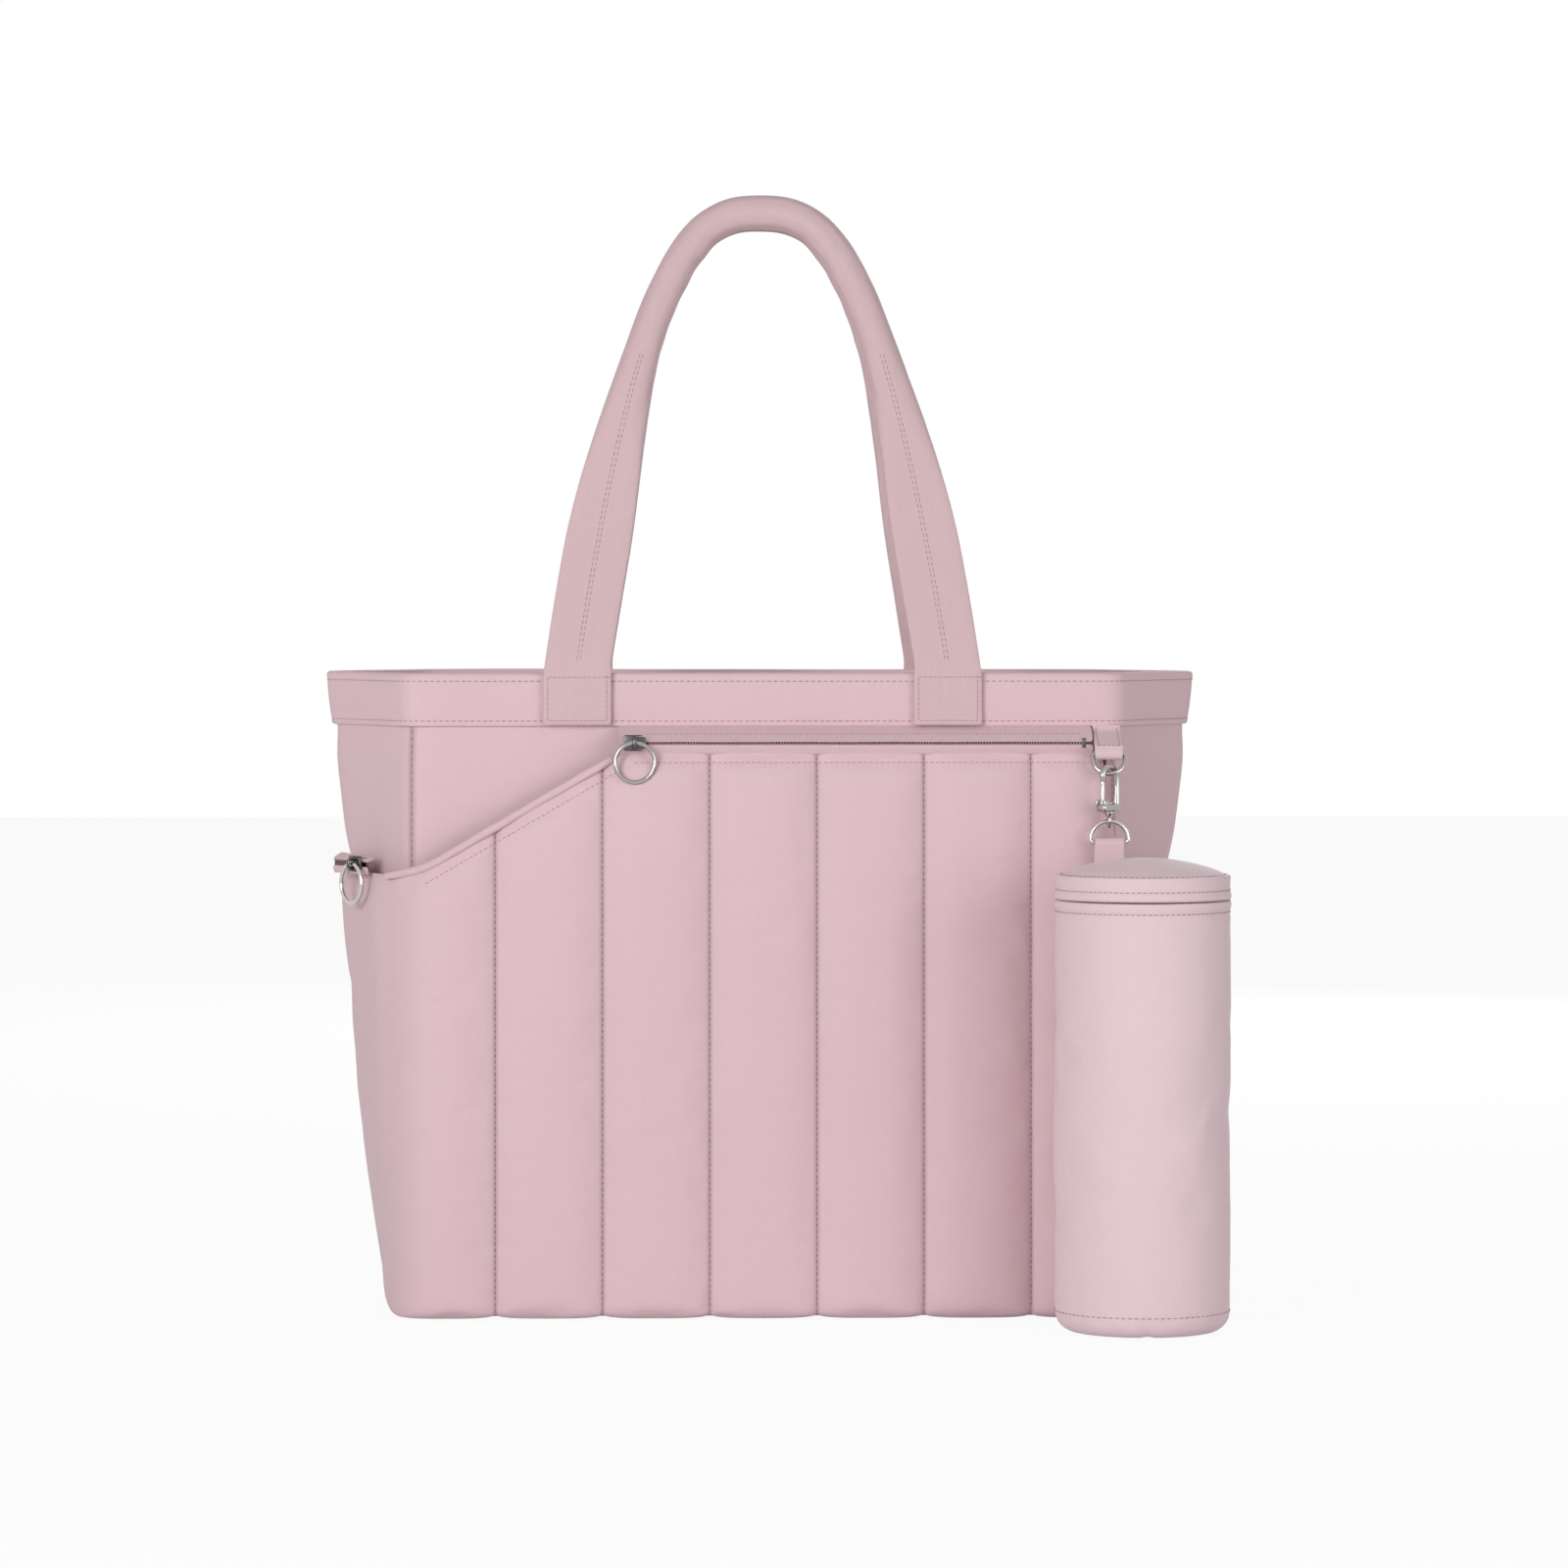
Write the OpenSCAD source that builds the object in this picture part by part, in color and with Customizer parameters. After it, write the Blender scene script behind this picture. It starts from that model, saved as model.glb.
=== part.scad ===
// Quilted diaper tote with a clip-on insulated bottle pouch.
// Origin: centre of the underside of the bag. +X to the right, +Y to the back, +Z up. Millimetres.

/* [Bag] */
// Height of the bag at its rim
bag_h = 340; // [280:1:410]
// Width of the front and back panels at the base
base_w = 380; // [316:1:456]
// Width of the front and back panels at the rim
rim_panel_w = 372; // [310:1:446]
// Depth of the bag at the base
base_d = 156; // [130:1:188]
// Depth of the bag at the rim
rim_d = 134; // [112:1:160]
// How far each gusset fold stands out at the rim
rim_flare = 49; // [41:1:58]
// How far each gusset fold stands out at the base
base_flare = 4; // [3:1:6]
// Thickness of the padded outer walls
wall_t = 3.4; // [2.8:0.1:4]
// Thickness of the lining cloth
lining_t = 0.8; // [0.6:0.1:1]
// Height of the hemmed band at the rim
band_h = 28; // [23:1:34]
// How far the band stands proud of the walls
band_proud = 1.5; // [1:0.1:2]
// Thickness of the stiff board in the base
board_t = 2.5; // [2:0.1:3]

/* [Quilted pocket] */
// Gap between the bag's front wall and the quilted pocket
pocket_gap = 9; // [8:0.5:11]
// Thickness of the quilted padding
quilt_t = 8; // [6:0.5:9.5]
// How far the pocket stops below the band
pocket_drop = 13; // [11:0.5:16]
// Height of the pocket's wing on each gusset
wing_h = 234; // [195:1:270]
// Distance from the bag's middle to the start of the slanted mouth
mouth_x = 72; // [60:1:86]
// Thickness of the edge binding along the mouth
binding_t = 4.6; // [4:0.1:5.5]

/* [Zips] */
// Width of one row of zip coil
coil_w = 1.8; // [1.5:0.1:2.2]
// Thickness of the zip coil
coil_t = 2.4; // [2:0.1:2.9]
// Width of the slit that the slider's post runs in
coil_slit = 1.4; // [1.2:0.1:1.7]
// Length of a zip slider
slider_l = 13; // [11:0.5:15]
// Outside diameter of the ring pulls
ring_d = 23; // [19:0.5:27]
// Thickness of the ring wire
ring_wire = 2.2; // [1.8:0.1:2.6]

/* [Handles] */
// Height of the handles above the rim
handle_rise = 253; // [211:1:303]
// Distance between the legs of a handle, centre to centre
handle_span = 196; // [163:1:230]
// Width of the flat strap at its foot
strap_w = 35; // [29:1:42]
// Thickness of the flat strap at its foot
strap_t = 4.4; // [3.7:0.1:5.2]
// Diameter of the rolled grip
grip_d = 18.6; // [15.5:0.1:20]
// Gap between the two grips where they meet
grip_gap = 3; // [2.5:0.5:6]

/* [Clip] */
// Distance from the bag's middle to the clip
clip_x = 182; // [176:1:186]
// Wire radius of the D-rings
d_wire = 1.25; // [1.05:0.05:1.4]
// Arc radius of the upper D-ring
d_arc = 8.6; // [7.2:0.1:9.4]
// Arc radius of the lower ring
low_arc = 9.9; // [9:0.1:11]
// Rod radius of the snap hook
hook_rod = 1.6; // [1.4:0.1:1.8]

/* [Pouch] */
// Outside diameter of the pouch
pouch_d = 91; // [76:1:94]
// Height of the pouch with its lid
pouch_h = 246; // [236:1:256]
// Height of the zip line around the pouch
pouch_zip_z = 224.5; // [212:0.5:229]
// Thickness of the outer cloth
pouch_skin = 1; // [0.8:0.1:1.2]
// Thickness of the insulation
pouch_foam = 3; // [2.5:0.1:3.6]

/* [Hidden] */
$fn = 48;

cloth_pink = [0.85, 0.73, 0.75];
cloth_side = [0.80, 0.69, 0.72];
lining_grey = [0.80, 0.76, 0.75];
gunmetal = [0.34, 0.33, 0.34];
light_metal = [0.74, 0.73, 0.73];

seat = 0.3;
band_z = bag_h - band_h;
lean = atan((base_d - rim_d) / 2 / bag_h);

// Half sizes of the bag's plan at a height
function half_w(z) = (base_w + (rim_panel_w - base_w) * z / bag_h) / 2;
function half_d(z) = (base_d + (rim_d - base_d) * z / bag_h) / 2;
function flare(z) = base_flare + (rim_flare - base_flare) * z / bag_h;

// Plan points at a height, moved inwards by inset: corner on the front right, and the gusset fold
function corner(z, inset = 0) = [half_w(z) - inset, inset - half_d(z), z];
function fold(z, inset = 0) = [half_w(z) + flare(z) - inset, 0, z];
function flip_x(p) = [-p[0], p[1], p[2]];
function flip_y(p) = [p[0], -p[1], p[2]];
function ring_plan(z, inset) = [
    flip_x(corner(z, inset)), corner(z, inset), fold(z, inset),
    flip_y(corner(z, inset)), flip_y(flip_x(corner(z, inset))), flip_x(fold(z, inset))
];

// A closed plate between two matching outlines. Outer runs counter-clockwise seen from outside.
module slab(outer, inner) {
    n = len(outer);
    fans = [for (i = [1 : n - 2]) [0, i + 1, i]];
    backs = [for (i = [1 : n - 2]) [n, n + i, n + i + 1]];
    sides = [for (i = [0 : n - 1]) let (j = (i + 1) % n) each [[i, j, n + j], [i, n + j, n + i]]];
    polyhedron(points = concat(outer, inner), faces = concat(fans, backs, sides));
}

// A closed solid through a list of rings with the same number of points
module loft(rings) {
    n = len(rings[0]);
    m = len(rings);
    sides = [for (k = [0 : m - 2], i = [0 : n - 1]) let (j = (i + 1) % n)
        each [[k * n + i, (k + 1) * n + j, k * n + j], [k * n + i, (k + 1) * n + i, (k + 1) * n + j]]];
    first = [for (i = [1 : n - 2]) [0, i, i + 1]];
    last = [for (i = [1 : n - 2]) [(m - 1) * n, (m - 1) * n + i + 1, (m - 1) * n + i]];
    polyhedron(points = [for (r = rings) each r], faces = concat(sides, first, last));
}

// A frame on the bag's front wall: x across, y up the wall, z out of it
module front_wall() translate([0, -base_d / 2, 0]) rotate([90 - lean, 0, 0]) children();
// The y of the front wall's face at a height
function front_y(z) = -half_d(z);

// ---- Bag walls ----
module end_wall(z0, z1, inset, t) {
    slab(
        [flip_x(corner(z0, inset)), corner(z0, inset), corner(z1, inset), flip_x(corner(z1, inset))],
        [flip_x(corner(z0, inset + t)), corner(z0, inset + t),
         corner(z1, inset + t), flip_x(corner(z1, inset + t))]
    );
}

// Half a gusset: two flat faces that meet in a crease from the bottom corner to the top of the fold
module half_gusset(z0, z1, inset, t) {
    slab([corner(z0, inset), fold(z0, inset), fold(z1, inset)],
         [corner(z0, inset + t), fold(z0, inset + t), fold(z1, inset + t)]);
    slab([corner(z0, inset), fold(z1, inset), corner(z1, inset)],
         [corner(z0, inset + t), fold(z1, inset + t), corner(z1, inset + t)]);
}

module gusset(z0, z1, inset, t) {
    half_gusset(z0, z1, inset, t);
    mirror([0, 1, 0]) half_gusset(z0, z1, inset, t);
}

module front_panel() color(cloth_pink) end_wall(0, band_z, 0, wall_t);
module back_panel() color(cloth_pink) mirror([0, 1, 0]) end_wall(0, band_z, 0, wall_t);
module right_gusset() color(cloth_side) gusset(0, band_z, 0, wall_t);
module left_gusset() color(cloth_side) mirror([1, 0, 0]) gusset(0, band_z, 0, wall_t);
module base_panel() color(cloth_side) loft([ring_plan(0, wall_t), ring_plan(wall_t, wall_t)]);
board_z = wall_t;
module base_board() color("dimgray")
    loft([ring_plan(board_z, wall_t + 2 * lining_t), ring_plan(board_z + board_t, wall_t + 2 * lining_t)]);

module band_side(out, in) {
    z0 = band_z;
    end_wall(z0, bag_h, out, in - out);
    slab([corner(z0, out), fold(z0, out), fold(bag_h, out), corner(bag_h, out)],
         [corner(z0, in), fold(z0, in), fold(bag_h, in), corner(bag_h, in)]);
    mirror([1, 0, 0])
        slab([corner(z0, out), fold(z0, out), fold(bag_h, out), corner(bag_h, out)],
             [corner(z0, in), fold(z0, in), fold(bag_h, in), corner(bag_h, in)]);
}

module top_band() color(cloth_pink) {
    band_side(-band_proud, wall_t);
    mirror([0, 1, 0]) band_side(-band_proud, wall_t);
}

lining_z = board_z + board_t + lining_t;
lining_in = wall_t + seat;
module main_lining() color(lining_grey) {
    end_wall(lining_z, band_z, lining_in, lining_t);
    mirror([0, 1, 0]) end_wall(lining_z, band_z, lining_in, lining_t);
    gusset(lining_z, band_z, lining_in + seat, lining_t);
    mirror([1, 0, 0]) gusset(lining_z, band_z, lining_in + seat, lining_t);
}
module lining_floor() color(lining_grey)
    loft([ring_plan(lining_z - lining_t, lining_in + 2 * seat), ring_plan(lining_z, lining_in + 2 * seat)]);

// ---- Quilted pocket ----
corner_in = 3.25;
pocket_x = half_w(wing_h) - corner_in;
pocket_top = (band_z - pocket_drop) / cos(lean);
pocket_out = pocket_gap + quilt_t;
// The slanted mouth starts here and falls to the wing's top at the corner
mouth_end = wing_h / cos(lean);

floor_t = 3;
module pocket_outline(grow = 0) polygon([
    [-pocket_x, 0], [pocket_x, 0], [pocket_x, pocket_top + grow], [-mouth_x, pocket_top + grow],
    [-pocket_x, mouth_end + grow]
]);
module pocket_front() color(cloth_pink)
    front_wall() translate([0, 0, pocket_gap]) linear_extrude(quilt_t) pocket_outline();
module pocket_lining() color(lining_grey)
    front_wall() translate([0, 0, pocket_gap - lining_t]) linear_extrude(lining_t)
        intersection() {
            pocket_outline();
            translate([4 - pocket_x, floor_t]) square([2 * pocket_x - 8, pocket_top - 16]);
        }
module pocket_floor() color(cloth_side)
    front_wall() translate([-pocket_x, 0, 0]) cube([2 * pocket_x, floor_t, pocket_gap]);

// A wing wraps round the front corner onto the front half of the gusset. It is sewn down at the base.
wing_gap = 2;
wing_t = quilt_t - 2.6;
wing_base_t = 4;
wing_foot = 0.6;
function along(a, b, t) = a + (b - a) * t;
function shift(p, dx, dy) = [p[0] + dx, p[1] + dy, p[2]];
// The pocket's end at a height: out is 0 on its inner face and 1 on its outer face
function pocket_end(z, out) = [pocket_x, -half_d(z) - (pocket_gap + out * quilt_t) / cos(lean), z];
// Past the corner the wing stands clear of the gusset by a gap that grows with the height
function wing_bend(z, out) = let (t = along(wing_base_t, wing_t, z / wing_h))
    shift(corner(z), 5.5 + 4.5 * z / wing_h + 0.9 * out * t, 6 - 0.4 * out * t);
function wing_back(z, out) = let (t = along(wing_base_t, wing_t, z / wing_h))
    shift(along(fold(0), fold(band_z), z / band_z), 0.5 + (wing_gap + 0.5) * z / wing_h + out * t, -seat);
function wing_crease(out) = shift(along(corner(0), fold(band_z), wing_h / band_z),
    wing_gap + 2 + out * wing_t, -wing_gap - 2);
module wing() {
    slab([pocket_end(wing_foot, 1), wing_bend(wing_foot, 1), wing_bend(wing_h, 1), pocket_end(wing_h, 1)],
         [pocket_end(wing_foot, 0), wing_bend(wing_foot, 0), wing_bend(wing_h, 0), pocket_end(wing_h, 0)]);
    slab([wing_bend(wing_foot, 1), wing_crease(1), wing_bend(wing_h, 1)],
         [wing_bend(wing_foot, 0), wing_crease(0), wing_bend(wing_h, 0)]);
    slab([wing_bend(wing_foot, 1), wing_back(wing_foot, 1), wing_back(wing_h, 1), wing_crease(1)],
         [wing_bend(wing_foot, 0), wing_back(wing_foot, 0), wing_back(wing_h, 0), wing_crease(0)]);
}
module pocket_right_wing() color(cloth_side) wing();
module pocket_left_wing() color(cloth_side) mirror([1, 0, 0]) wing();

// A soft edge binding that sits on the slanted lip of the pocket
mouth_run = pocket_x - mouth_x;
mouth_fall = pocket_top - mouth_end;
mouth_len = norm([mouth_run, mouth_fall]);
module mouth_binding() color(cloth_pink)
    front_wall() translate([-mouth_x, pocket_top, pocket_gap + quilt_t / 2])
        rotate([0, 0, 180 + atan(mouth_fall / mouth_run)])
            translate([slider_l / 2 + 1, -binding_t, -binding_t / 2]) cube([mouth_len - slider_l / 2 - 3, binding_t, binding_t]);

// ---- Zip sizes, shared by the front and side zips ----
coil_half = coil_slit / 2 + coil_w;
plate_t = 1.3;
plate_gap = 0.35;
slider_w = 2 * coil_half + 3.4;
ring_clear = 0.45;
bail_w = 2.8;
bail_foot = 1.3;
bail_in = ring_wire / 2 + ring_clear;
bail_h = ring_wire + 2 * ring_clear + bail_foot;
ring_r = (ring_d - ring_wire) / 2;
ring_lift = coil_t + plate_gap + plate_t + ring_wire / 2 + ring_clear;
tape_t = 0.8;
tape_rise = slider_w / 2 - coil_half + 0.4;

// ---- Front zip ----
zip_x0 = 2 - mouth_x;
zip_x1 = clip_x - 14;
coil_v = pocket_top + slider_w / 2 + 0.4;
ring_back = 0.8;
coil_w0 = pocket_out + ring_back + ring_wire / 2 - ring_lift;
module coils(length) for (s = [-1, 1])
    translate([0, s > 0 ? coil_slit / 2 : -coil_slit / 2 - coil_w, 0]) cube([length, coil_w, coil_t]);

module front_zip_coils() color(gunmetal)
    front_wall() translate([zip_x0, coil_v, coil_w0]) coils(zip_x1 - zip_x0);
module front_zip_tapes() color(cloth_side) front_wall() {
    // the upper tape runs up out of the slider and back to the bag's wall
    translate([zip_x0, coil_v + coil_half, coil_w0 + coil_t / 2 - tape_t])
        cube([zip_x1 - zip_x0, tape_rise, tape_t]);
    translate([zip_x0, coil_v + coil_half + tape_rise, 0])
        cube([zip_x1 - zip_x0, tape_t, coil_w0 + coil_t / 2]);
    // the lower tape runs down into the pocket
    translate([zip_x0, pocket_top, coil_w0 + coil_t / 2 - tape_t])
        cube([zip_x1 - zip_x0, coil_v - coil_half - pocket_top, tape_t]);
}
module front_zip_stop() color(gunmetal)
    front_wall() translate([zip_x1, coil_v - coil_half, coil_w0]) cube([2, 2 * coil_half, coil_t]);

// A slider: two plates with a post between them, and a bail on top for the ring
module slider_body() {
    top = coil_t + plate_gap;
    for (z = [top, -plate_gap - plate_t])
        translate([-slider_l / 2, -slider_w / 2, z]) cube([slider_l, slider_w, plate_t]);
    translate([-slider_l / 2 + 1, -coil_slit / 2 + 0.3, -plate_gap]) cube([3, coil_slit - 0.6, coil_t + 2 * plate_gap]);
    // bail: two feet and a bridge, which the ring's wire runs under
    for (s = [-1, 1])
        translate([-bail_w / 2, s > 0 ? bail_in : -bail_in - bail_foot, top + plate_t])
            cube([bail_w, bail_foot, bail_h]);
    translate([-bail_w / 2, -bail_in - bail_foot, top + plate_t + bail_h - bail_foot])
        cube([bail_w, 2 * (bail_in + bail_foot), bail_foot]);
}
// The ring hangs below the slider: its topmost wire runs through the bail
module ring_pull() translate([0, -ring_r, ring_lift])
    rotate_extrude() translate([ring_r, 0]) circle(d = ring_wire, $fn = 24);

slider_x = zip_x0 + slider_l / 2 - 4;
module at_front_slider() front_wall() translate([slider_x, coil_v, coil_w0]) children();
module front_zip_slider() color(gunmetal) at_front_slider() slider_body();
module front_ring_pull() color(gunmetal) at_front_slider() ring_pull();

// ---- Side zip, on the top edge of the left wing ----
// The middle of the wing's top edge, from the crease near the fold to the bend at the front corner
side_k = wing_crease(0.5);
side_c = wing_bend(wing_h, 0.5);
side_turn = atan2(side_c[1] - side_k[1], side_c[0] - side_k[0]);
side_lift = slider_w / 2 + 0.6;
// A frame on that edge: x runs forwards from the crease, y up, z outwards
module side_edge() mirror([1, 0, 0]) translate([side_k[0], side_k[1], wing_h + side_lift])
    rotate([0, 0, side_turn]) rotate([90, 0, 0]) mirror([0, 0, 1])
        translate([0, 0, -coil_t / 2]) children();
side_len = 26;
module side_zip_coils() color(gunmetal) side_edge() coils(side_len);
module side_zip_tape() color(cloth_side) side_edge() {
    translate([0, seat - side_lift, coil_t / 2 - tape_t]) cube([side_len, side_lift - seat - coil_half, tape_t]);
    translate([0, coil_half, coil_t / 2 - tape_t]) cube([side_len, tape_rise, tape_t]);
    translate([0, coil_half + tape_rise, coil_t / 2 - side_reach]) cube([side_len, tape_t, side_reach]);
}
side_reach = 6.6;
side_slider_s = side_len - slider_l / 2 + 4;
module at_side_slider() side_edge() translate([side_slider_s, 0, 0]) children();
module side_zip_slider() color(gunmetal) at_side_slider() slider_body();
module side_ring_pull() color(gunmetal) at_side_slider() ring_pull();

// ---- Handles ----
hinge_out = band_proud + strap_t / 2 + 0.6;
hinge_y = -rim_d / 2 - hinge_out;
hinge_z = bag_h + strap_t / 2 + 0.8;
patch_t = 3;
patch_clear = 0.4;
handle_tilt = atan((-hinge_y - (grip_d + grip_gap) / 2) / handle_rise);
leg = handle_span / 2;
rise = (handle_rise - grip_d / 2) / cos(handle_tilt);
swell_lo = 0.24;
swell_hi = 0.78;
function smooth(a, b, v) = let (t = min(1, max(0, (v - a) / (b - a)))) t * t * (3 - 2 * t);
arch = 2.7;
function arch_z(s) = rise * (1 - pow(abs(s), arch));
// The way that the strap's outer edge faces in its own plane: 0 at the right foot, 90 at the top
function edge_way(s) = let (
    lean_in = atan2(leg, rise * arch * pow(max(abs(s), 0.0001), arch - 1)),
    settled = lean_in * smooth(0.02, 0.16, arch_z(s) / rise)
) s < 0 ? 180 - settled : settled;
grip_steps = 30;
sides_n = 12;
// One ring of the strap at s (1 right foot, 0 apex, -1 left foot); shrink leaves room for its core
function strap_ring(s, wide, thick) = let (a = edge_way(s)) [for (i = [0 : sides_n - 1])
    let (q = 360 * (i + 0.5) / sides_n, u = wide / 2 * cos(q))
        [leg * s + u * cos(a), thick / 2 * sin(q), arch_z(s) + u * sin(a)]];
function fatness(s) = smooth(swell_lo, swell_hi, arch_z(s) / rise);
function foot_ring(s, turn) = [for (p = strap_ring(s, strap_w, strap_t * cos(turn)))
    [p[0], p[1], p[2] - strap_t / 2 * sin(turn)]];
function strap_rings() = concat(
    [for (turn = [75, 40]) foot_ring(1, turn)],
    [for (i = [0 : grip_steps]) let (s = cos(180 * i / grip_steps), f = fatness(s))
        strap_ring(s, strap_w + (grip_d - strap_w) * f, strap_t + (grip_d - strap_t) * f)],
    [for (turn = [40, 75]) foot_ring(-1, turn)]
);
core_d = grip_d - 6;
core_end = 0.62;
function core_rings(d) = [for (i = [0 : 14]) let (s = core_end * (1 - 2 * i / 14)) strap_ring(s, d, d)];

module on_front_hinge() translate([0, hinge_y, hinge_z]) rotate([-handle_tilt, 0, 0]) children();
module handle_strap() on_front_hinge() difference() {
    loft(strap_rings());
    loft(core_rings(core_d));
}
module handle_core() on_front_hinge() loft(core_rings(core_d - 2 * seat));
module anchors() {
    top = hinge_z - strap_t / 2 - patch_clear;
    front_wall() for (s = [-1, 1])
        translate([s * leg - strap_w / 2, band_z / cos(lean) + 1, band_proud])
            cube([strap_w, (top - band_z) / cos(lean) - 1.6, patch_t]);
}
module front_handle() color(cloth_pink) handle_strap();
module rear_handle() color(cloth_pink) mirror([0, 1, 0]) handle_strap();
module front_handle_core() color("white") handle_core();
module rear_handle_core() color("white") mirror([0, 1, 0]) handle_core();
module front_handle_anchors() color(cloth_pink) anchors();
module rear_handle_anchors() color(cloth_pink) mirror([0, 1, 0]) anchors();

// ---- Magnetic snap, inside the band ----
magnet_r = 9;
magnet_t = 2.6;
module magnet() front_wall()
    translate([0, (bag_h - band_h / 2) / cos(lean), -wall_t - magnet_t]) cylinder(r = magnet_r, h = magnet_t);
module front_magnet() color(light_metal) magnet();
module rear_magnet() color(light_metal) mirror([0, 1, 0]) magnet();

// ---- Clip: tab, D-ring, snap hook, swivel, lower ring ----
run = 0.35;
d_bar_z = pocket_top - 1;
d_bar_y = front_y(d_bar_z) - pocket_out - 3.4;
d_tilt = 30;
d_leg = 3;
tab_w = 2 * (d_arc - d_wire - run);
loop_r = d_wire + run + 1;
module clip_tab() color(cloth_pink) translate([clip_x, 0, 0]) {
    top_z = band_z - 1;
    difference() {
        union() {
            translate([-tab_w / 2, d_bar_y, d_bar_z]) rotate([0, 90, 0]) cylinder(r = loop_r, h = tab_w);
            slab(
                [[-tab_w / 2, d_bar_y - 0.4, d_bar_z + loop_r - 0.1], [tab_w / 2, d_bar_y - 0.4, d_bar_z + loop_r - 0.1],
                 [tab_w / 2, front_y(top_z) - 0.2, top_z], [-tab_w / 2, front_y(top_z) - 0.2, top_z]],
                [[-tab_w / 2, d_bar_y + 1.9, d_bar_z + loop_r - 1.4], [tab_w / 2, d_bar_y + 1.9, d_bar_z + loop_r - 1.4],
                 [tab_w / 2, front_y(top_z) - 0.2, top_z - 2.4], [-tab_w / 2, front_y(top_z) - 0.2, top_z - 2.4]]
            );
        }
        translate([-tab_w, d_bar_y, d_bar_z]) rotate([0, 90, 0]) cylinder(r = d_wire + run, h = 2 * tab_w);
    }
}

// A D-ring in its own plane: bar along x at the origin, arc below it
module d_shape(arc, straight, wire) {
    translate([-arc, 0, 0]) rotate([0, 90, 0]) cylinder(r = wire, h = 2 * arc);
    for (s = [-1, 1]) translate([s * arc, 0, -straight]) {
        cylinder(r = wire, h = straight);
        translate([0, 0, straight]) sphere(r = wire);
    }
    translate([0, 0, -straight]) rotate([-90, 0, 0]) rotate_extrude(angle = 180) translate([arc, 0]) circle(r = wire, $fn = 24);
}
module d_ring() color(light_metal)
    translate([clip_x, d_bar_y, d_bar_z]) rotate([-d_tilt, 0, 0]) d_shape(d_arc, d_leg, d_wire);

drop = d_leg + d_arc;
hook_y = d_bar_y - drop * sin(d_tilt);
wire_z = d_bar_z - drop * cos(d_tilt);
hook_turn = 45;
slot_r = 4;
hook_arc = slot_r + hook_rod;
hook_clear = 0.85;
arc_z = wire_z + d_wire + hook_clear - slot_r;
base_top = arc_z - 14;
base_h = 4;
pivot_z = base_top + 0.4;
module at_hook() translate([clip_x, hook_y, 0]) rotate([0, 0, hook_turn]) children();
lug_w = 3.4;
module snap_hook_body() color(gunmetal) at_hook() difference() {
    union() {
        translate([0, 0, arc_z]) rotate([90, 0, 0]) rotate_extrude(angle = 180) translate([hook_arc, 0]) circle(r = hook_rod, $fn = 24);
        translate([hook_arc, 0, base_top - 1]) cylinder(r = hook_rod, h = arc_z - base_top + 1);
        translate([-hook_arc, 0, arc_z - 2]) cylinder(r = hook_rod, h = 2);
        translate([-hook_arc - 2, -lug_w, base_top - base_h]) cube([2 * hook_arc + 4, 2 * lug_w, base_h]);
        for (s = [-1, 1]) translate([-hook_arc - 2, s > 0 ? lug_w - 1.4 : -lug_w, base_top - 1]) cube([4, 1.4, 3.2]);
    }
    translate([0, 0, base_top - base_h - 1]) cylinder(r = eye_post + 0.08, h = base_h + 2);
    translate([-hook_arc, lug_w + 1, pivot_z]) rotate([90, 0, 0]) cylinder(r = pin_r, h = 2 * lug_w + 2);
    translate([-hook_arc - 3, -gate_t / 2 - gate_side, base_top - 1.6]) cube([5.4, gate_t + 2 * gate_side, 6]);
}
pin_r = 0.6;
gate_t = 2.6;
gate_side = 0.5;
module hook_gate() color(gunmetal) at_hook() difference() {
    union() {
        translate([-hook_arc, gate_t / 2, pivot_z]) rotate([90, 0, 0]) cylinder(r = 1.3, h = gate_t);
        translate([-hook_arc - 1, -gate_t / 2, pivot_z]) cube([2, gate_t, arc_z - 2.35 - pivot_z]);
    }
    translate([-hook_arc, lug_w, pivot_z]) rotate([90, 0, 0]) cylinder(r = pin_r + 0.06, h = 2 * lug_w);
}
module gate_pin() color(light_metal) at_hook()
    translate([-hook_arc, lug_w, pivot_z]) rotate([90, 0, 0]) cylinder(r = pin_r, h = 2 * lug_w);
// A turn of spring wire round the pin on each side of the gate
module gate_spring() color(light_metal) at_hook() for (s = [-1, 1])
    translate([-hook_arc, s * (gate_t / 2 + gate_side / 2), pivot_z]) rotate([90, 0, 0])
        rotate_extrude() translate([pin_r + 0.22, 0]) circle(r = 0.17, $fn = 16);

eye_post = 1.3;
eye_wire = 1.1;
eye_arc = 2.9;
eye_z = base_top - base_h - 0.4 - eye_arc - eye_wire - 0.4;
module swivel_eye() color(gunmetal) translate([clip_x, hook_y, 0]) {
    translate([0, 0, eye_z + eye_arc]) cylinder(r = eye_post, h = base_top + 0.3 - eye_z - eye_arc);
    translate([0, 0, base_top + 0.2]) cylinder(r = 2, h = 0.9);
    translate([0, 0, eye_z]) rotate([0, 90, 0]) rotate_extrude() translate([eye_arc, 0]) circle(r = eye_wire, $fn = 24);
}
low_wire = 1.1;
low_top = eye_z - eye_arc + eye_wire + run + low_wire;
low_leg = 1.5;
low_bar = low_top - low_arc - low_leg;
module lower_ring() color(light_metal)
    translate([clip_x, hook_y, low_bar]) rotate([0, 180, 0]) d_shape(low_arc, low_leg, low_wire);

// ---- Pouch ----
pouch_r = pouch_d / 2;
pouch_gap = 3.6;
pouch_x = clip_x + 14;
pouch_y = front_y(0) - pocket_out - pouch_gap - pouch_r;
module at_pouch() translate([pouch_x, pouch_y, 0]) children();
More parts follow.
